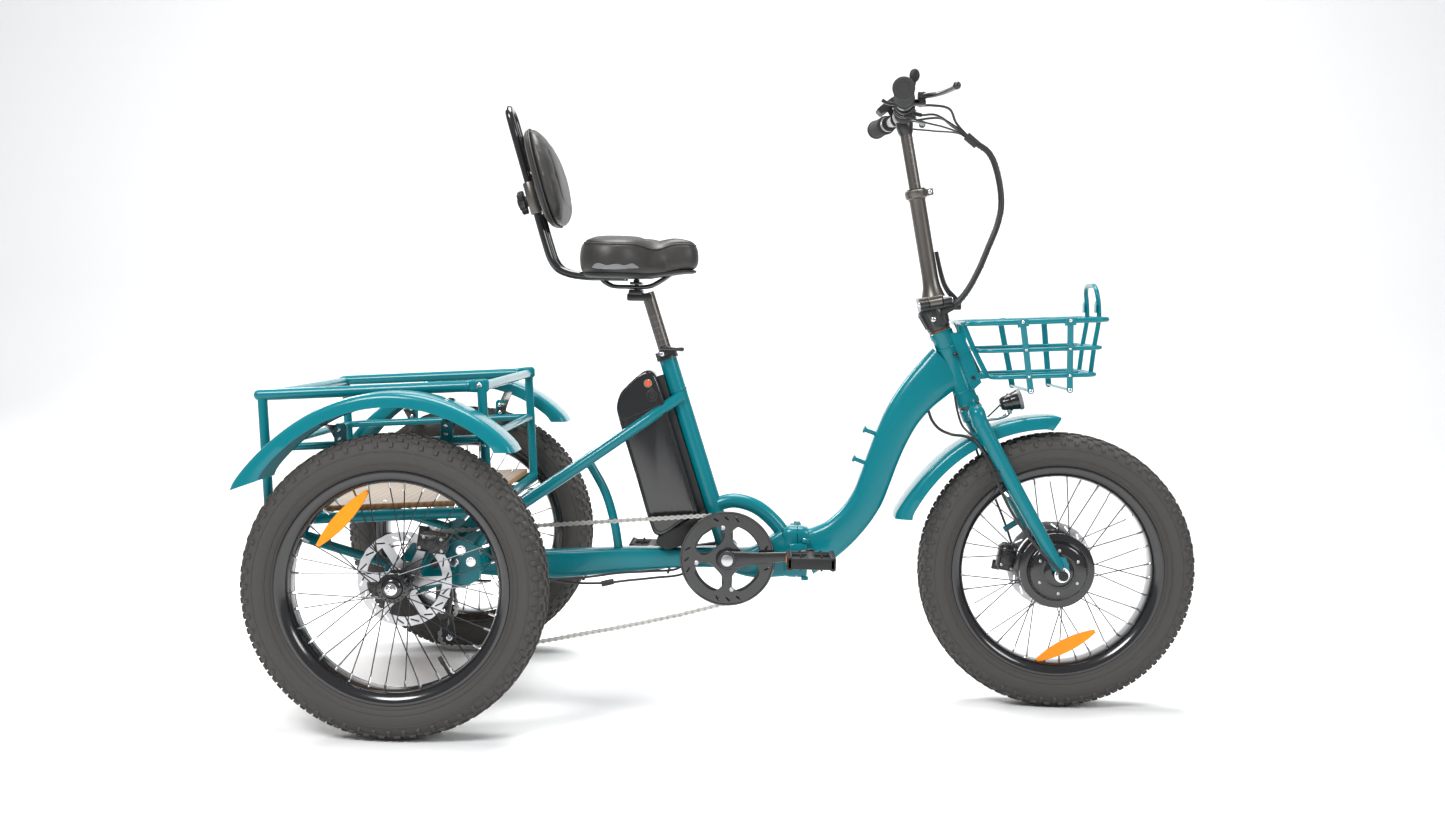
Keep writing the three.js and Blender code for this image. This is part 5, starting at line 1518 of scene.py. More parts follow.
# ---------------------------------------------------------------- front frame
HEAD_TOP = Vector((1003.5, 0, 749))
HEAD_RUN = (Vector((1066, 0, 602)) - HEAD_TOP).length
HEAD_DOWN = (Vector((1066, 0, 602)) - HEAD_TOP) / HEAD_RUN
HEAD_FRONT = Vector((-HEAD_DOWN.z, 0, HEAD_DOWN.x))


def on_head(s, forward=0.0, y=0.0):
    """A point s below the top of the head tube, forward of the steering axis."""
    return tuple(HEAD_TOP + HEAD_DOWN * s + HEAD_FRONT * forward + Vector((0, y, 0)))


def front_frame():
    made = Batch()
    made.loft(
        [(744, 297, 96, 50), (758, 303, 88, 49), (778, 314, 78, 48), (806, 333, 69, 48),
         (840, 368, 64, 48), (866, 408, 63, 48), (882, 450, 63, 48), (896, 492, 64, 48),
         (912, 534, 66, 48), (934, 580, 71, 48), (962, 620, 78, 47), (998, 658, 88, 45),
         (1022, 682, 92, 38)],
        per=6, power=3.4,
    )
    made.lathe(on_head(0), HEAD_DOWN, [(0, 17.2), (0, 21.5), (2, 23.6), (12, 23.6), (15, 21.5),
                                     (HEAD_RUN - 15, 21.5), (HEAD_RUN - 12, 23.6),
                                     (HEAD_RUN - 2, 23.6), (HEAD_RUN, 21.5), (HEAD_RUN, 17.2)],
               56, loop=True)
    box = [on_head(12, 16), on_head(132, 16), on_head(124, 36), on_head(20, 38)]
    made.plate([[(p[0], p[2]) for p in box]], (0, 0, 0), 34, bevel=2)
    for y in (-13, 13):
        prong = [on_head(22, 30), on_head(4, 36), on_head(0, 44), on_head(14, 46), on_head(34, 40)]
        made.plate([[(p[0], p[2]) for p in prong]], (0, y, 0), 5, bevel=0.8)
    weld(made, on_head(36), HEAD_DOWN, 20.5, 3)
    weld(made, on_head(128), HEAD_DOWN, 20.5, 3)
    piece("front_frame_beam", made, PAINT, "front_fold", ["front_frame"])


def front_hinge():
    hinge = Batch()
    hinge.loft([(728.6, 299, 104, 56), (732, 299, 104, 56), (740, 299, 103, 54),
                (749, 299, 98, 48)], per=2, power=5)
    hinge.lathe((728, 36, 0), Z, [(273, 7.6), (274, 9), (324, 9), (325, 7.6)], 28)
    hinge.block((728.6, 20, 273), (742, 36, 325), 1.5)
    for low, high in ((246, 253), (321, 328)):
        hinge.block((737, -42, low), (751, -27, high), 1.5)
    piece("fold_hinge_front_half", hinge, PAINT, "front_fold")
    pin = Batch()
    pin.lathe((728, 36, 0), Z, [(243, 5), (244, 7), (246.6, 7), (246.6, 4.4), (351.4, 4.4),
                                (351.4, 7), (354, 7), (355, 5)], 24)
    piece("fold_hinge_pin", pin, STEEL, "rear")


def front_fittings():
    rings = Batch()
    for s in (-1.5, HEAD_RUN + 1.2):
        rings.lathe(on_head(s), HEAD_DOWN, [(-1.6, 17.4), (-1.6, 22), (1.6, 22), (1.6, 17.4)], 48,
                    loop=True)
    piece("headset_races", rings, COPPER, "front_fold")
    studs = Batch()
    for x, z in ((844, 487), (864, 546)):
        studs.pin((x, 0, z), Vector((-0.94, 0, 0.34)), -24, 5, 4.4)
        studs.lathe((x, 0, z), Vector((-0.94, 0, 0.34)), [(4, 6.4), (5, 7), (8, 7), (9, 5.4)], 20)
    piece("cable_studs", studs, PAINT, "front_fold")
    bolt = Batch()
    bolt.bolt(on_head(54, 10, -24), -Y, 5, 3)
    bolt.bolt(on_head(110, 26, -17.4), -Y, 4, 3)
    piece("head_tube_bolts", bolt, SATIN, "front_fold")


def frame_latch():
    latch = Batch()
    latch.loft([(713, 287, 60, 7, -36.5), (722, 287, 65, 9, -37), (738, 287, 65, 9, -37),
                (746.5, 287, 62, 8, -36.5)], per=4, sides=24, power=5)
    latch.lathe((742, -36.5, 0), Z, [(254.6, 4.6), (319.4, 4.6)], 20)
    piece("frame_latch_lever", latch, PAINT, "frame_latch", ["frame_latch"])
    catch = Batch()
    catch.pin((742, -36.5, 0), Z, 244, 254, 3.2)
    catch.pin((742, -36.5, 0), Z, 320, 330, 3.2)
    piece("frame_latch_pins", catch, CHROME, "front_fold")


front_frame()
front_hinge()
front_fittings()
frame_latch()

BASKET = Vector((1043, 0, 766))
LIFT = math.radians(3)
BASKET_FRONT = Vector((math.cos(LIFT), 0, math.sin(LIFT)))
BASKET_UP = Vector((-math.sin(LIFT), 0, math.cos(LIFT)))


def on_basket(u, v, w):
    """A point of the basket: u forward from its upper rear corner, v to the left, w up."""
    return tuple(BASKET + BASKET_FRONT * u + Vector((0, v, 0)) + BASKET_UP * w)


def basket():
    made = Batch()
    for hoop in ((0, 268, 138, 0, 30, 5.2), (24, 256, 126, -54, 26, 4), (46, 246, 112, -106, 22, 4.2)):
        rounded_hoop(made, on_basket, *hoop, 14)
    rivets = Batch()
    for high, foot in ((101, 119), (192, 194)):
        for side in (-1, 1):
            def strip(v, w):
                """A point of the strip, which leans from its top towards its foot."""
                return on_basket(high + (foot - high) * (5 - w) / 139, side * v, w)

            made.bar([strip(143, 5), strip(131, -54), strip(117.5, -106), strip(114, -134)],
                     3, 12, 1.2, up=X)
            made.bar([strip(143, 5), strip(141, -9)], 3.4, 22, 1.2, up=X)
            made.lathe(strip(114, -134), Y * side, [(-1.7, 6), (1.7, 6)], 24)
            for v, w, r in ((145, 0, 3), (133, -54, 2.6), (119.4, -106, 2.6), (116, -134, 4)):
                rivets.bolt(strip(v, w), Y * side, r, 1.6)
        made.bar([on_basket(foot, -114, -134), on_basket(foot, 114, -134)], 10, 4, 0.8)
    for v in (-56, 56):
        made.bar([on_basket(46, v, -108), on_basket(246, v, -108)], 10, 4, 0.8)
        made.bar([on_basket(-2, v, 2), on_basket(20, v, -54), on_basket(45, v, -108)], 10, 3, 0.8,
                 up=Y)
    front = [(246, -106), (254, -54), (264, 0), (264, 30)]
    left = [on_basket(u, 56, w) for u, w in front]
    right = [on_basket(u, -56, w) for u, w in front]
    crown = [on_basket(262, 52, 52), on_basket(261, 36, 64), on_basket(261, 0, 66),
             on_basket(261, -36, 64), on_basket(262, -52, 52)]
    made.tube([*left, *crown, *reversed(right)], 4.6, 14)
    for v in (-56, 56):
        tab = [(-8, -7), (8, -7), (8, 9), (0, 14), (-8, 9)]
        made.plate([tab], on_basket(258, v, 20), 3, x_dir=Y, y_dir=Z, bevel=0.5)
        rivets.bolt(on_basket(268, v, 0), X, 4.4, 3)
    piece("basket_rails", made, PAINT, "front_fold", ["basket"])
    for v in (-22, 22):
        rivets.bolt(on_basket(5, v, 0), -X, 4.4, 3)
    piece("basket_rivets", rivets, CHROME, "front_fold")
    arm = Batch()
    for v in (-13, 13):
        arm.bar([on_head(8, 40, v), on_basket(2, v, 2)], 6, 12, 1.2)
        arm.bar([on_head(112, 32, v), on_basket(50, v * 2, -106)], 6, 10, 1.2)
    arm.bar([on_basket(4, -30, -6), on_basket(4, 30, -6)], 4, 18, 1, up=Z)
    piece("basket_bracket", arm, PAINT, "front_fold")


basket()


# ---------------------------------------------------------------- steering
def fork():
    made = Batch()
    crown = on_head(HEAD_RUN + 18)
    made.lathe(on_head(0), HEAD_DOWN, [(HEAD_RUN + 3.4, 14), (HEAD_RUN + 3.4, 21),
                                     (HEAD_RUN + 6, 23.5), (HEAD_RUN + 28, 23.5),
                                     (HEAD_RUN + 32, 20), (HEAD_RUN + 32, 8)], 48)
    made.tube([on_head(-40), on_head(HEAD_RUN + 10)], 13.8, 24)
    made.tube([(crown[0], -58, crown[2] + 4), (crown[0], -30, crown[2] + 7),
               (crown[0], 0, crown[2] + 8), (crown[0], 30, crown[2] + 7),
               (crown[0], 58, crown[2] + 4)], 15, 28)
    for side in (-1, 1):
        foot = (WHEELBASE - 6, side * 74, AXLE_Z + 14)
        top = (crown[0], side * 67, crown[2] + 6)
        made.tube([(crown[0] - 1, side * 56, crown[2] + 4), top,
                   (crown[0] + 8, side * 68.5, crown[2] - 20)], 15.5, 28)
        made.tube([(crown[0] + 3, side * 67.6, crown[2] - 6),
                   (crown[0] + 60, side * 69.5, crown[2] - 108),
                   (crown[0] + 120, side * 72, crown[2] - 212), foot], 16, 28, end=12.5)
        drop = [(-12, -4), (-10, 22), (-4, 34), (6, 34), (12, 20), (15, 0), (10, -13), (-6, -14)]
        made.plate([drop, circle(7.6, 20)], (WHEELBASE, side * 74, AXLE_Z), 8, bevel=1)
        made.ball((WHEELBASE - 8, side * 74, AXLE_Z + 16), 12.6, 20)
    made.bar([(WHEELBASE - 92, 76, AXLE_Z + 66), (WHEELBASE - 66, 73, AXLE_Z + 84)], 12, 7, 2, up=Y)
    piece("fork_blades", made, PAINT, "steering", ["fork"])
    nuts = Batch()
    for side in (-1, 1):
        nuts.lathe((WHEELBASE, 0, AXLE_Z), Y * side, [(78.4, 7), (78.4, 15), (80.4, 15),
                                                     (80.4, 7)], 28, loop=True)
        nuts.hexagon((WHEELBASE, side * 80.6, AXLE_Z), Y * side, 12, 9, 7)
        nuts.pin((WHEELBASE, 0, AXLE_Z), Y * side, 60, 96, 6.8)
    piece("front_axle_nuts", nuts, CHROME, "steering", ["front_axle"])
    cover = Batch()
    for side in (-1, 1):
        cover.lathe((WHEELBASE, 0, AXLE_Z), Y * side, [(88, 7.6), (92, 10), (99, 9), (101, 6)], 28)
    piece("front_axle_caps", cover, PLASTIC, "steering")

    mudguard("fender_front", (1234, 260), 0, 327, 46, (160, 88), (0.4, 0.65), 10, "steering",
             "mudguard_front")
    bracket = Batch()
    bracket.bar([on_head(HEAD_RUN + 30), (1092, 0, 562), (1100, 0, 559)], 18, 4, 1, up=Y)
    bracket.bolt((1096, 0, 560), Z, 5, 3)
    piece("fender_front_bracket", bracket, SATIN, "steering")


fork()


def headlight():
    tilt = math.radians(17)
    way = Vector((math.cos(tilt), 0, math.sin(tilt)))
    centre = (1150, 0, 611)
    body = Batch()
    body.lathe(centre, way, [(-24, 6), (-23, 11), (-17, 14.5), (-8, 15.5), (0, 17), (12, 20),
                             (17, 20), (17, 17.6), (14, 17)], 12)
    body.lathe(centre, way, [(-6, 17.2), (-6, 18), (-2, 18.4), (-2, 17.4)], 40, loop=True)
    piece("headlight_body", body, GLOSS, "steering", ["headlight"])
    rim_ring = Batch()
    rim_ring.lathe(centre, way, [(14, 18.4), (14, 21), (19, 21.4), (21, 20.6), (21, 18.4)], 48,
                   loop=True)
    piece("headlight_bezel", rim_ring, GREY, "steering")
    lens = Batch()
    lens.lathe(centre, way, [(15, 18.2), (19, 18.2), (20.6, 15), (21.6, 9), (22, 3)], 40)
    piece("headlight_lens", lens, LENS, "steering")
    inside = Batch()
    inside.lathe(centre, way, [(4, 3), (6, 8), (10, 13), (14.6, 17.4)], 40)
    piece("headlight_reflector", inside, CHROME, "steering")
    stalk = Batch()
    stalk.tube([(1148, 0, 598), (1144, 0, 586), (1128, 0, 578), (1100, 0, 574)], 4, 14)
    stalk.bar([(1104, 0, 574), (1078, 0, 578)], 14, 4, 1)
    stalk.hexagon((1147, 0, 592), -Z, 6, 5)
    piece("headlight_stalk", stalk, CHROME, "steering")


headlight()

STEM_FOOT = Vector((990, 0, 806))
LEAN = math.radians(11)
STEM_UP = Vector((-math.sin(LEAN), 0, math.cos(LEAN)))
STEM_FRONT = Vector((math.cos(LEAN), 0, math.sin(LEAN)))


def on_stem(s, forward=0.0, y=0.0):
    """A point s above the stem's foot, forward of its axis."""
    return tuple(STEM_FOOT + STEM_UP * s + STEM_FRONT * forward + Vector((0, y, 0)))


def stem_slab(batch, low, high, rear, front, y1, y2, corner=3):
    """A rounded block square to the stem."""
    s, y = (low + high) / 2, (y1 + y2) / 2
    batch.stack(lambda u, v, f: on_stem(s + v, f, y + u), rounded(y2 - y1, high - low, corner),
                ((rear, 0.94), (rear + 1.5, 1), (front - 1.5, 1), (front, 0.94)))


def stem_base():
    base = Batch()
    base.lathe(on_head(0), HEAD_DOWN, [(-50, 14.4), (-50, 27), (-46, 29), (-30, 26), (-10, 23.5),
                                     (-6, 23.5), (-4, 22), (-4, 14.4)], 48, loop=True)
    for k in range(14):
        a = 2 * math.pi * k / 14
        side = HEAD_FRONT * math.cos(a) + Y * math.sin(a)
        top = tuple(Vector(on_head(-44)) + side * 28.4)
        low = tuple(Vector(on_head(-12)) + side * 23.6)
        base.tube([top, low], 2, 8)
    stem_slab(base, -14, -0.4, -32, 32, -28.6, 30, 4)
    for first, last in ((-32, -14), (14, 32)):
        base.lathe(on_stem(0, 0, -36), STEM_FRONT, [(first, 6), (first + 1, 7), (last - 1, 7),
                                                   (last, 6)], 24)
        stem_slab(base, -12, -0.4, first, last, -36, -26, 1.5)
    base.block((1022, -8, 792), (1044, 8, 806), 3)
    piece("stem_base_casting", base, SATIN, "steering", ["stem_base"])
    screw = Batch()
    screw.bolt(on_head(-28, -6, -26), -Y, 5.5, 3.4)
    screw.bolt(on_stem(0, 32, -36), STEM_FRONT, 4.5, 2.4)
    screw.bolt(on_stem(0, -32, -36), -STEM_FRONT, 4.5, 2.4)
    piece("stem_base_screws", screw, CHROME, "steering")


def stem_post():
    post = Batch()
    stem_slab(post, 0.4, 13, -32, 17, -28.6, 30, 4)
    post.lathe(on_stem(0, 0, -36), STEM_FRONT, [(-13, 6), (-12, 7), (12, 7), (13, 6)], 24)
    stem_slab(post, 0.4, 12, -13, 13, -36, -26, 1.5)
    post.lathe(on_stem(0), STEM_UP, [(10, 24), (16, 22), (30, 18), (44, 16.4), (60, 16),
                                   (203, 16), (208, 17), (210, 21), (212, 22.4), (224, 22.4),
                                   (225.6, 21), (225.6, 13)], 48)
    stem_slab(post, 211, 225, 17, 33, -10, 10, 3)
    stem_slab(post, 212, 224, -12, 6, 16, 26, 3)
    piece("stem_post_lower", post, GUNMETAL, "stem", ["stem_post"])
    ring = Batch()
    ring.lathe(on_stem(0), STEM_UP, [(225.8, 13), (225.8, 19), (228.4, 18), (228.4, 13)], 40,
               loop=True)
    piece("stem_post_bushing", ring, PLASTIC, "stem")
    lever = Batch()
    path = [on_stem(218, f, y) for f, y in ((-17, 27.5), (0, 28), (18, 28.5), (30, 28))]
    lever.bar(path, 6, 10, 2, up=Z)
    piece("stem_quick_lever", lever, GLOSS, "post_lever", ["post_lever"])
    pin = Batch()
    pin.bolt(on_stem(218, 26, -10), -Y, 4.4, 2.6)
    pin.bolt(on_stem(218, -12, 31.5), Y, 3.4, 1.2)
    piece("stem_clamp_bolt", pin, CHROME, "stem")


def stem_latch():
    latch = Batch()
    run = ((-8, 45.5), (3, 39.5), (14, 32.6), (30, 26), (50, 22.8), (75, 21.2), (99, 20.4))
    points = through([at(*on_stem(s, forward)) for s, forward in run], 6)
    scales = [1 - 0.38 * i / (len(points) - 1) for i in range(len(points))]
    latch.sweep(points, rounded(22, 12, 3), up=X, scales=scales)
    latch.lathe(on_stem(-8, 46), Y, [(-12, 5), (-11, 6.5), (11, 6.5), (12, 5)], 24)
    piece("stem_latch_lever", latch, GLOSS, "stem_latch", ["stem_latch"])


stem_base()
stem_post()
stem_latch()


# ---------------------------------------------------------------- handlebar
def on_bar(y):
    """A point on the bar's centre line, y to the left."""
    out = max(0.0, abs(y) - 50) / 280
    return (917 - 28 * out, y, 1175 + 8 * out)


def handlebar():
    made = Batch()
    made.tube([on_stem(148), (917, 0, 1175)], 11.9, 32)
    piece("stem_post_upper", made, GUNMETAL, "bars")
    marks = Batch()
    for k in range(8):
        s = 238 + 13 * k
        marks.lathe(on_stem(s), STEM_UP, [(-0.4, 11.95), (0.4, 11.95), (0.4, 11.5), (-0.4, 11.5)],
                    32, loop=True)
    piece("stem_post_rings", marks, GREY, "bars")
    bar = Batch()
    path = [on_bar(y) for y in (-330, -260, -190, -120, -70, -40, 0, 40, 70, 120, 190, 260, 330)]
    bar.tube(path, 11, 28)
    piece("handlebar_tube", bar, GLOSS, "bars", ["handlebar"])
    clamp = Batch()
    clamp.lathe((917, 0, 1175), Y, [(-24, 15), (-22, 19), (-12, 20), (12, 20), (22, 19),
                                    (24, 15)], 40)
    clamp.lathe((917, 0, 1175), -STEM_UP, [(8, 15), (20, 17.5), (34, 15), (40, 12.4)], 36)
    clamp.block((930, -17, 1166), (942, 17, 1186), 3)
    piece("bar_clamp", clamp, SATIN, "bars")
    bolts = Batch()
    for y in (-11, 11):
        for z in (1169, 1183):
            bolts.bolt((942, y, z), X, 3.4, 2.6)
    piece("bar_clamp_bolts", bolts, CHROME, "bars")

    grips = Batch()
    for side in (-1, 1):
        inner, outer = Vector(on_bar(side * 212)), Vector(on_bar(side * 333))
        way = (outer - inner).normalized()
        run = (outer - inner).length
        profile = [(0, 12), (0, 19), (2.5, 20), (5, 19), (8, 17)]
        for k in range(26):
            t = 10 + k * (run - 22) / 26
            r = 16.8 + 1.4 * math.sin(math.pi * k / 25)
            profile += [(t, r), (t + 1.2, r + 0.8), (t + 2.6, r + 0.8), (t + 3.4, r)]
        profile += [(run - 10, 17.4), (run - 7, 20.5), (run - 2, 20.5), (run, 18), (run, 12),
                    (run - 1, 11.4), (run - 1, 3)]
        grips.lathe(tuple(inner), way, profile, 36)
    piece("handlebar_grips", grips, RUBBER, "bars")


def brake_lever(suffix, side):
    x, y, z = on_bar(side * 180)
    mount = Batch()
    along = (Vector(on_bar(side * 200)) - Vector(on_bar(side * 160))).normalized()
    mount.lathe((x, y, z), along, [(-11, 13), (-10, 16.5), (9, 16.5), (11, 14)], 36)
    mount.block((x, y - 9, z - 7), (x + 40, y + 9, z + 4), 3)
    mount.block((x + 4, y - 9 - 14 * (side > 0), z - 6), (x + 30, y + 9 + 14 * (side < 0), z + 4),
                3)
    mount.tube([(x + 22, y - side * 12, z), (x + 30, y - side * 30, z - 1)], 5.4, 16, end=4.6)
    mount.tube([(x + 30, y - side * 30, z - 1), (x + 34, y - side * 40, z - 2)], 3.6, 14)
    piece("brake_lever_mount_" + suffix, mount, SATIN, "bars")
    screws = Batch()
    screws.bolt((x - 15, y, z), -X, 3.4, 2.4)
    screws.bolt((x + 32, y, z + 18), Z, 4.4, 2)
    piece("brake_mount_screws_" + suffix, screws, CHROME, "bars")
    blade = Batch()
    path = [(x + 32, y, z + 11), (x + 46, y + side * 10, z + 11), (x + 60, y + side * 32, z + 11),
            (x + 73, y + side * 70, z + 12), (x + 80, y + side * 100, z + 13),
            (x + 82, y + side * 122, z + 14)]
    points = through([at(*p) for p in path], 7)
    scales = [1.25 - 0.35 * min(1, i / 14) for i in range(len(points))]
    blade.sweep(points, oval(5.6, 4.6, 18, 2.4), up=Z, scales=scales)
    blade.ball((x + 82, y + side * 124, z + 14), 7.6, 20)
    blade.lathe((x + 32, y, z), Z, [(4.6, 7), (5.4, 8), (17, 8), (18, 7)], 28)
    piece("brake_blade_" + suffix, blade, SATIN, "brake_lever_" + suffix,
          ["brake_lever_" + suffix])


def bar_way(y):
    """The direction along the bar at y, towards the left."""
    return (Vector(on_bar(y + 8)) - Vector(on_bar(y - 8))).normalized()


def throttle():
    x, y, z = on_bar(-148)
    way = bar_way(-148)
    part = Batch()
    part.lathe((x, y, z), way, [(-7, 12.4), (-7, 18), (-5.6, 19), (5.6, 19), (7, 18), (7, 12.4)],
               36, loop=True)
    points = through([at(x + u, y, z + w) for u, w in ((-14, 0), (-24, 0), (-34, 2), (-43, 7))], 5)
    part.sweep(points, rounded(14, 6, 2.4), up=Z)
    piece("thumb_throttle", part, PLASTIC, "throttle", ["throttle"])
    part = Batch()
    x, y, z = on_bar(-133)
    part.lathe((x, y, z), way, [(-7, 12), (-7, 17), (-6, 18), (5, 18), (6, 17), (6, 12)], 32)
    part.block((x - 2, y - 7, z - 24), (x + 16, y + 5, z - 8), 3)
    piece("throttle_housing", part, PLASTIC, "bars")


def shifter():
    way = bar_way(-148)
    x, y, z = on_bar(-118)
    part = Batch()
    part.lathe((x, y, z), way, [(-6, 12.4), (-6, 19), (-5, 20), (5, 20), (6, 19), (6, 12.4)], 36,
               loop=True)
    points = through([at(x + 8, y, z + 16), at(x + 12, y - 4, z + 30), at(x + 15, y - 9, z + 44),
                      at(x + 16, y - 11, z + 52)], 5)
    part.sweep(points, oval(4.4, 3, 14), up=Y)
    part.ball((x + 16, y - 11, z + 58), 10, 24, (1, 0.5, 1.3))
    piece("thumb_shifter_lever", part, PLASTIC, "shifter", ["shifter_lever"])
    part = Batch()
    part.lathe((x, y + 13, z), way, [(-6, 12), (-6, 20), (-5, 21), (6, 21), (8, 18), (8, 12)], 36)
    part.tube([(x + 16, y + 13, z - 10), (x + 34, y + 13, z - 14)], 4, 14)
    piece("thumb_shifter_housing", part, PLASTIC, "bars")


def display():
    x, y, z = on_bar(63)
    part = Batch()
    part.lathe((x, y, z), Y, [(-7, 12.4), (-7, 17), (-6, 18), (6, 18), (7, 17), (7, 12.4)], 32,
               loop=True)
    part.bar([(x - 13, y, z + 8), (x - 20, y, z + 18)], 12, 7, 2, up=Y)
    centre = Vector((x - 26, y, z + 25))
    tilt = math.radians(38)
    face = Vector((-math.sin(tilt), 0, math.cos(tilt)))
    run = Vector((math.cos(tilt), 0, math.sin(tilt)))
    part.stack(lambda u, v, t: centre + face * t + run * v + Y * u, rounded(68, 46, 9, 5),
               ((-9, 0.86), (-7, 0.95), (2, 1), (5, 0.98), (6, 0.94)))
    piece("display_case", part, PLASTIC, "bars", ["display"])
    glass = Batch()
    glass.stack(lambda u, v, t: centre + face * t + run * (v + 1) + Y * u, rounded(54, 34, 5, 4),
                ((5.6, 1), (6.5, 1), (6.9, 0.97)))
    piece("display_screen", glass, SCREEN, "bars")


handlebar()
brake_lever("right", -1)
brake_lever("left", 1)
throttle()
shifter()
display()


# ---------------------------------------------------------------- cables
LOOM = [(1055, 0, 1128), (1090, 0, 1104), (1108, -2, 1062), (1116, -9, 1002), (1108, -15, 960),
        (1092, -20, 918), (1072, -22, 868), (1048, -22, 824), (1026, -22, 800), (1012, -20, 792)]


def coil(batch, points, radius, turn=9.0):
    """A spiral wrap round a bundle of cables."""
    path = through([at(*p) for p in points], 16)
    gone, rings = 0.0, []
    for a, b in zip(path, path[1:]):
        along = (b - a).normalized()
        side = Y.cross(along)
        angle = gone / turn * 2 * math.pi
        rings.append(a + (side * math.cos(angle) + Y * math.sin(angle)) * (radius / 1000))
        gone += (b - a).length * 1000
    batch.sweep(rings, circle(1.3, 6))


def bar_cables():
    """Brake, shift, throttle and display lines from the bars to the loom's upper sleeve."""
    bars = Batch()
    sleeve = LOOM[0]
    for side in (-1, 1):
        x, y, z = on_bar(side * 180)
        bars.tube([(x + 34, y - side * 40, z - 2), (x + 58, y - side * 64, z + 2),
                   (x + 96, y - side * 104, z + 1), (1020, side * 30, 1158),
                   (1042, side * 6, 1140), (1066, side * 4, 1121)], 2.5, 12, 8)
    x, y, z = on_bar(-118)
    bars.tube([(x + 34, y + 13, z - 14), (x + 60, y + 32, z - 10), (1004, -40, 1158),
               (1036, -12, 1142), (1064, -3, 1120)], 2.3, 12, 8)
    x, y, z = on_bar(-133)
    bars.tube([(x + 8, y, z - 22), (x + 44, y + 16, z - 30), (996, -56, 1146), (1034, -10, 1138),
               (1062, 2, 1118)], 1.9, 12, 8)
    x, y, z = on_bar(63)
    bars.tube([(x - 20, y, z + 14), (x + 10, y - 8, z - 16), (980, 38, 1150), (1034, 14, 1142),
               (1062, 4, 1122)], 1.9, 12, 8)
    bars.tube([(1044, 0, 1137), sleeve, (1066, 0, 1119)], 8.6, 18)
    piece("control_cables_upper", bars, CABLE, "bars")


def loom():
    """The wrapped bundle that loops forward from the bars down to the stem's base."""
    for name, points, blend in (
        ("cable_loom_upper", LOOM[:6], ("bars", "stem", at(1098, 0, 1090), at(1097, 0, 932))),
        ("cable_loom_lower", LOOM[5:], ("stem", "steering", at(1094, 0, 920), at(1020, 0, 800))),
    ):
        made = Batch()
        made.tube(points, 6.2, 16, 8)
        coil(made, points, 6.2)
        piece(name, made, CABLE, None, blend=blend)
    foot = Batch()
    foot.tube([LOOM[-2], LOOM[-1], (1004, -17, 788)], 8, 18)
    piece("cable_loom_boot", foot, RUBBER, "steering")


def hub_cable():
    """The motor line from the front frame to the hub, behind the right fork blade."""
    neck = Batch()
    neck.tube([(984, -8, 590), (992, -12, 570), (1006, -16, 554), (1030, -22, 544),
               (1056, -40, 542), (1076, -58, 532), (1092, -70, 510)], 3, 12, 8)
    neck.tube([(1034, -21, 622), (1040, -28, 590), (1050, -36, 562), (1072, -52, 540),
               (1090, -66, 512)], 2.3, 12, 8)
    piece("neck_cables", neck, CABLE, None,
          blend=("front_fold", "steering", at(1004, 0, 560), at(1070, 0, 540)))
    leg = Batch()
    leg.tube([(1091, -69, 512), (1106, -74, 478), (1124, -76, 439), (1150, -78, 391),
              (1193, -84, 335), (1226, -90, 300), (1242, -93, 284)], 3, 12, 8)
    leg.tube([(1076, 58, 560), (1096, 74, 500), (1126, 80, 430), (1160, 80, 350), (1172, 66, 312)],
             2.4, 12, 8)
    piece("fork_cables", leg, CABLE, "steering")
    clip = Batch()
    clip.lathe((1109, -74.5, 473), Vector((0.42, 0, -0.9)), [(-4, 5.4), (-4, 7), (4, 7), (4, 5.4)],
               20, loop=True)
    clip.bar([(1112, -75, 474), (1122, -76, 479)], 8, 6, 1.5)
    piece("fork_cable_clip", clip, PLASTIC, "steering")
    lamp = Batch()
    lamp.tube([on_head(HEAD_RUN + 26, 18), (1096, 8, 572), (1116, 6, 590), (1130, 0, 606)], 1.7, 10, 8)
    piece("headlight_wire", lamp, CABLE, "steering")


def frame_cables():
    """Lines that leave the base beam underneath and run to the derailleur and calipers."""
    lines = Batch()
    lines.tube([(500, -14, 268), (486, -20, 259), (430, -27, 254), (373, -30, 250),
                (303, -34, 240), (220, -46, 234), (120, -78, 236), (60, -92, 238)], 2.5, 12, 8)
    lines.tube([(512, -12, 264), (500, -18, 250), (440, -26, 241), (388, -30, 235),
                (340, -32, 229), (256, -40, 231), (160, -84, 262), (112, -170, 316),
                (84, -262, 352), (66, -296, 360)], 2.5, 12, 8)
    lines.tube([(500, 14, 266), (440, 26, 250), (300, 32, 240), (180, 60, 262), (112, 170, 316),
                (84, 262, 352), (66, 296, 360)], 2.5, 12, 8)
    lines.tube([(361, -32, 233), (337, -32, 227)], 6, 16)
    for x, z in ((470, 258), (300, 240)):
        lines.bar([(x, -34, z - 5), (x, 34, z - 5)], 5, 3, 1)
    piece("frame_cables", lines, CABLE, "rear")


bar_cables()
loom()
hub_cable()
frame_cables()


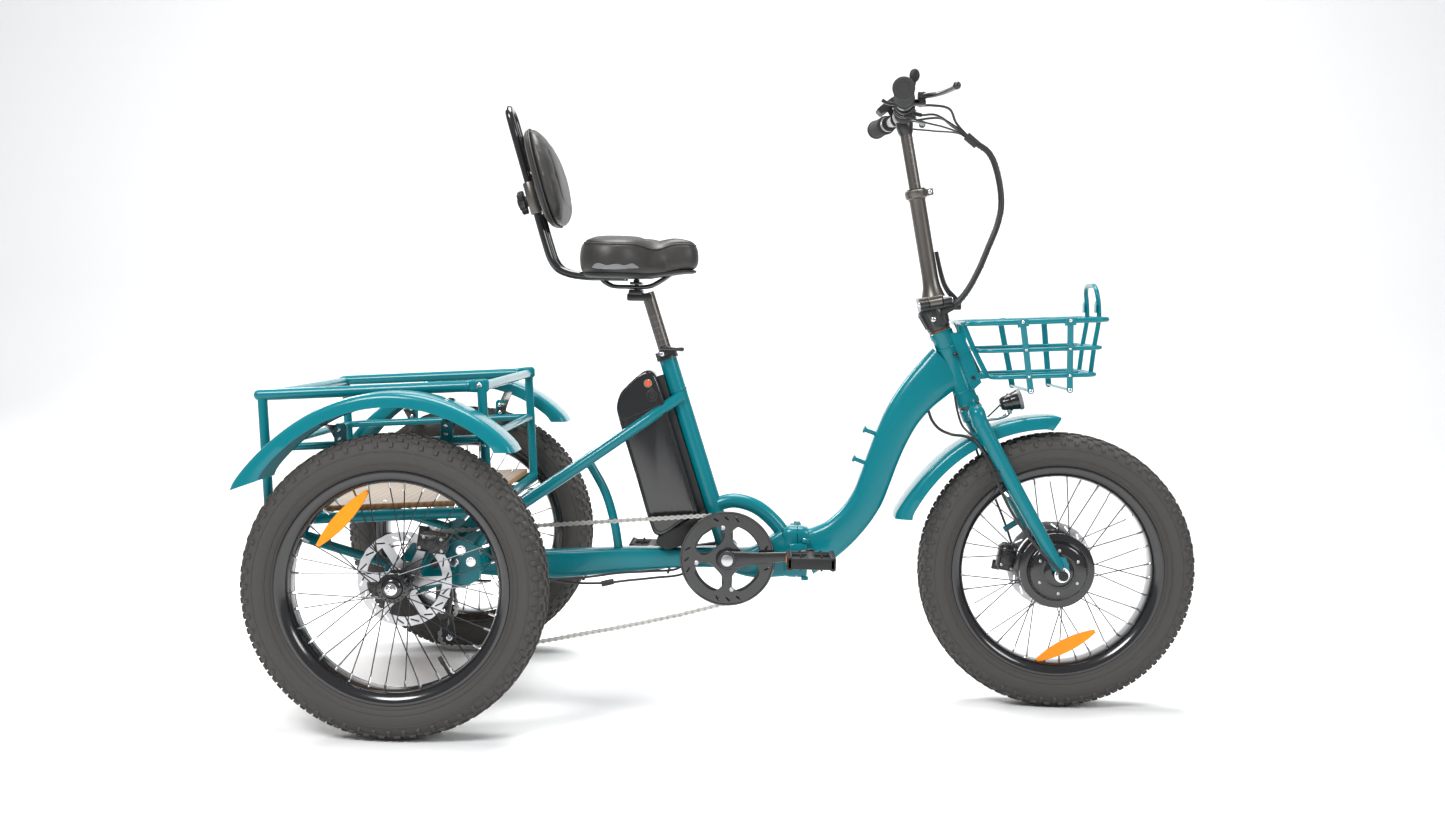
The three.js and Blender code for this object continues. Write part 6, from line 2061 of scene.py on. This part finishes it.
# ---------------------------------------------------------------- studio
def studio():
    floor = bpy.data.materials.new("studio_floor")
    floor.use_nodes = True
    shader = floor.node_tree.nodes["Principled BSDF"]
    shader.inputs["Base Color"].default_value = (0.9, 0.9, 0.9, 1)
    shader.inputs["Roughness"].default_value = 0.75
    sheet = Batch()
    steps = [(-7, 0), (2.4, 0), (3.0, 0.06), (3.5, 0.3), (3.9, 0.8), (4.1, 1.6), (4.2, 6.0)]
    rings = [[Vector((x, y, z)) for y, z in steps] for x in (-14, 14)]
    verts = [[sheet.bm.verts.new(p) for p in ring] for ring in rings]
    for k in range(len(steps) - 1):
        sheet.bm.faces.new((verts[0][k], verts[1][k], verts[1][k + 1], verts[0][k + 1]))
    mesh = bpy.data.meshes.new("studio_floor")
    sheet.bm.normal_update()
    sheet.bm.to_mesh(mesh)
    mesh.materials.append(floor)
    mesh.shade_smooth()
    ground = bpy.data.objects.new("studio_floor", mesh)
    bpy.context.scene.collection.objects.link(ground)
    for name, spot, aim, size, power in (
        ("key_light", (-1.8, -3.0, 3.4), (0, 0, 0.5), 1.6, 150),
        ("fill_light", (3.2, -2.4, 2.4), (0.3, 0, 0.5), 1.4, 50),
        ("top_light", (0, 0.6, 4.2), (0, 0, 0), 2.6, 210),
        ("rim_light", (-2.4, 2.4, 2.6), (0, 0, 0.6), 1.2, 60),
    ):
        lamp = bpy.data.lights.new(name, "AREA")
        lamp.shape = "DISK"
        lamp.size = size
        lamp.energy = power
        holder = bpy.data.objects.new(name, lamp)
        holder.location = spot
        way = Vector(aim) - Vector(spot)
        holder.rotation_euler = way.to_track_quat("-Z", "Y").to_euler()
        bpy.context.scene.collection.objects.link(holder)
    world = bpy.data.worlds.new("studio_world")
    world.use_nodes = True
    world.node_tree.nodes["Background"].inputs["Color"].default_value = (0.95, 0.97, 1, 1)
    world.node_tree.nodes["Background"].inputs["Strength"].default_value = 0.36
    bpy.context.scene.world = world
    bpy.context.scene.view_settings.view_transform = "Standard"


def camera():
    """The reference viewpoint: angles in radians, place in metres from the rear axle's foot."""
    yaw, pitch, roll = -0.022877, 0.063338, 0.021285
    forward = Vector((math.sin(yaw) * math.cos(pitch), math.cos(yaw) * math.cos(pitch),
                      -math.sin(pitch)))
    right = Vector((math.cos(yaw), -math.sin(yaw), 0))
    up = right.cross(forward)
    side = right * math.cos(roll) + up * math.sin(roll)
    top = up * math.cos(roll) - right * math.sin(roll)
    data = bpy.data.cameras.new("studio_camera")
    data.sensor_width = 36
    data.lens = 39.256
    holder = bpy.data.objects.new("studio_camera", data)
    turn = Matrix((side, top, -forward)).transposed().to_4x4()
    place = Vector((AXLE_X + 0.64404, -3.16497, 0.78873))
    holder.matrix_world = Matrix.Translation(place) @ turn
    bpy.context.scene.collection.objects.link(holder)
    bpy.context.scene.camera = holder


studio()
camera()
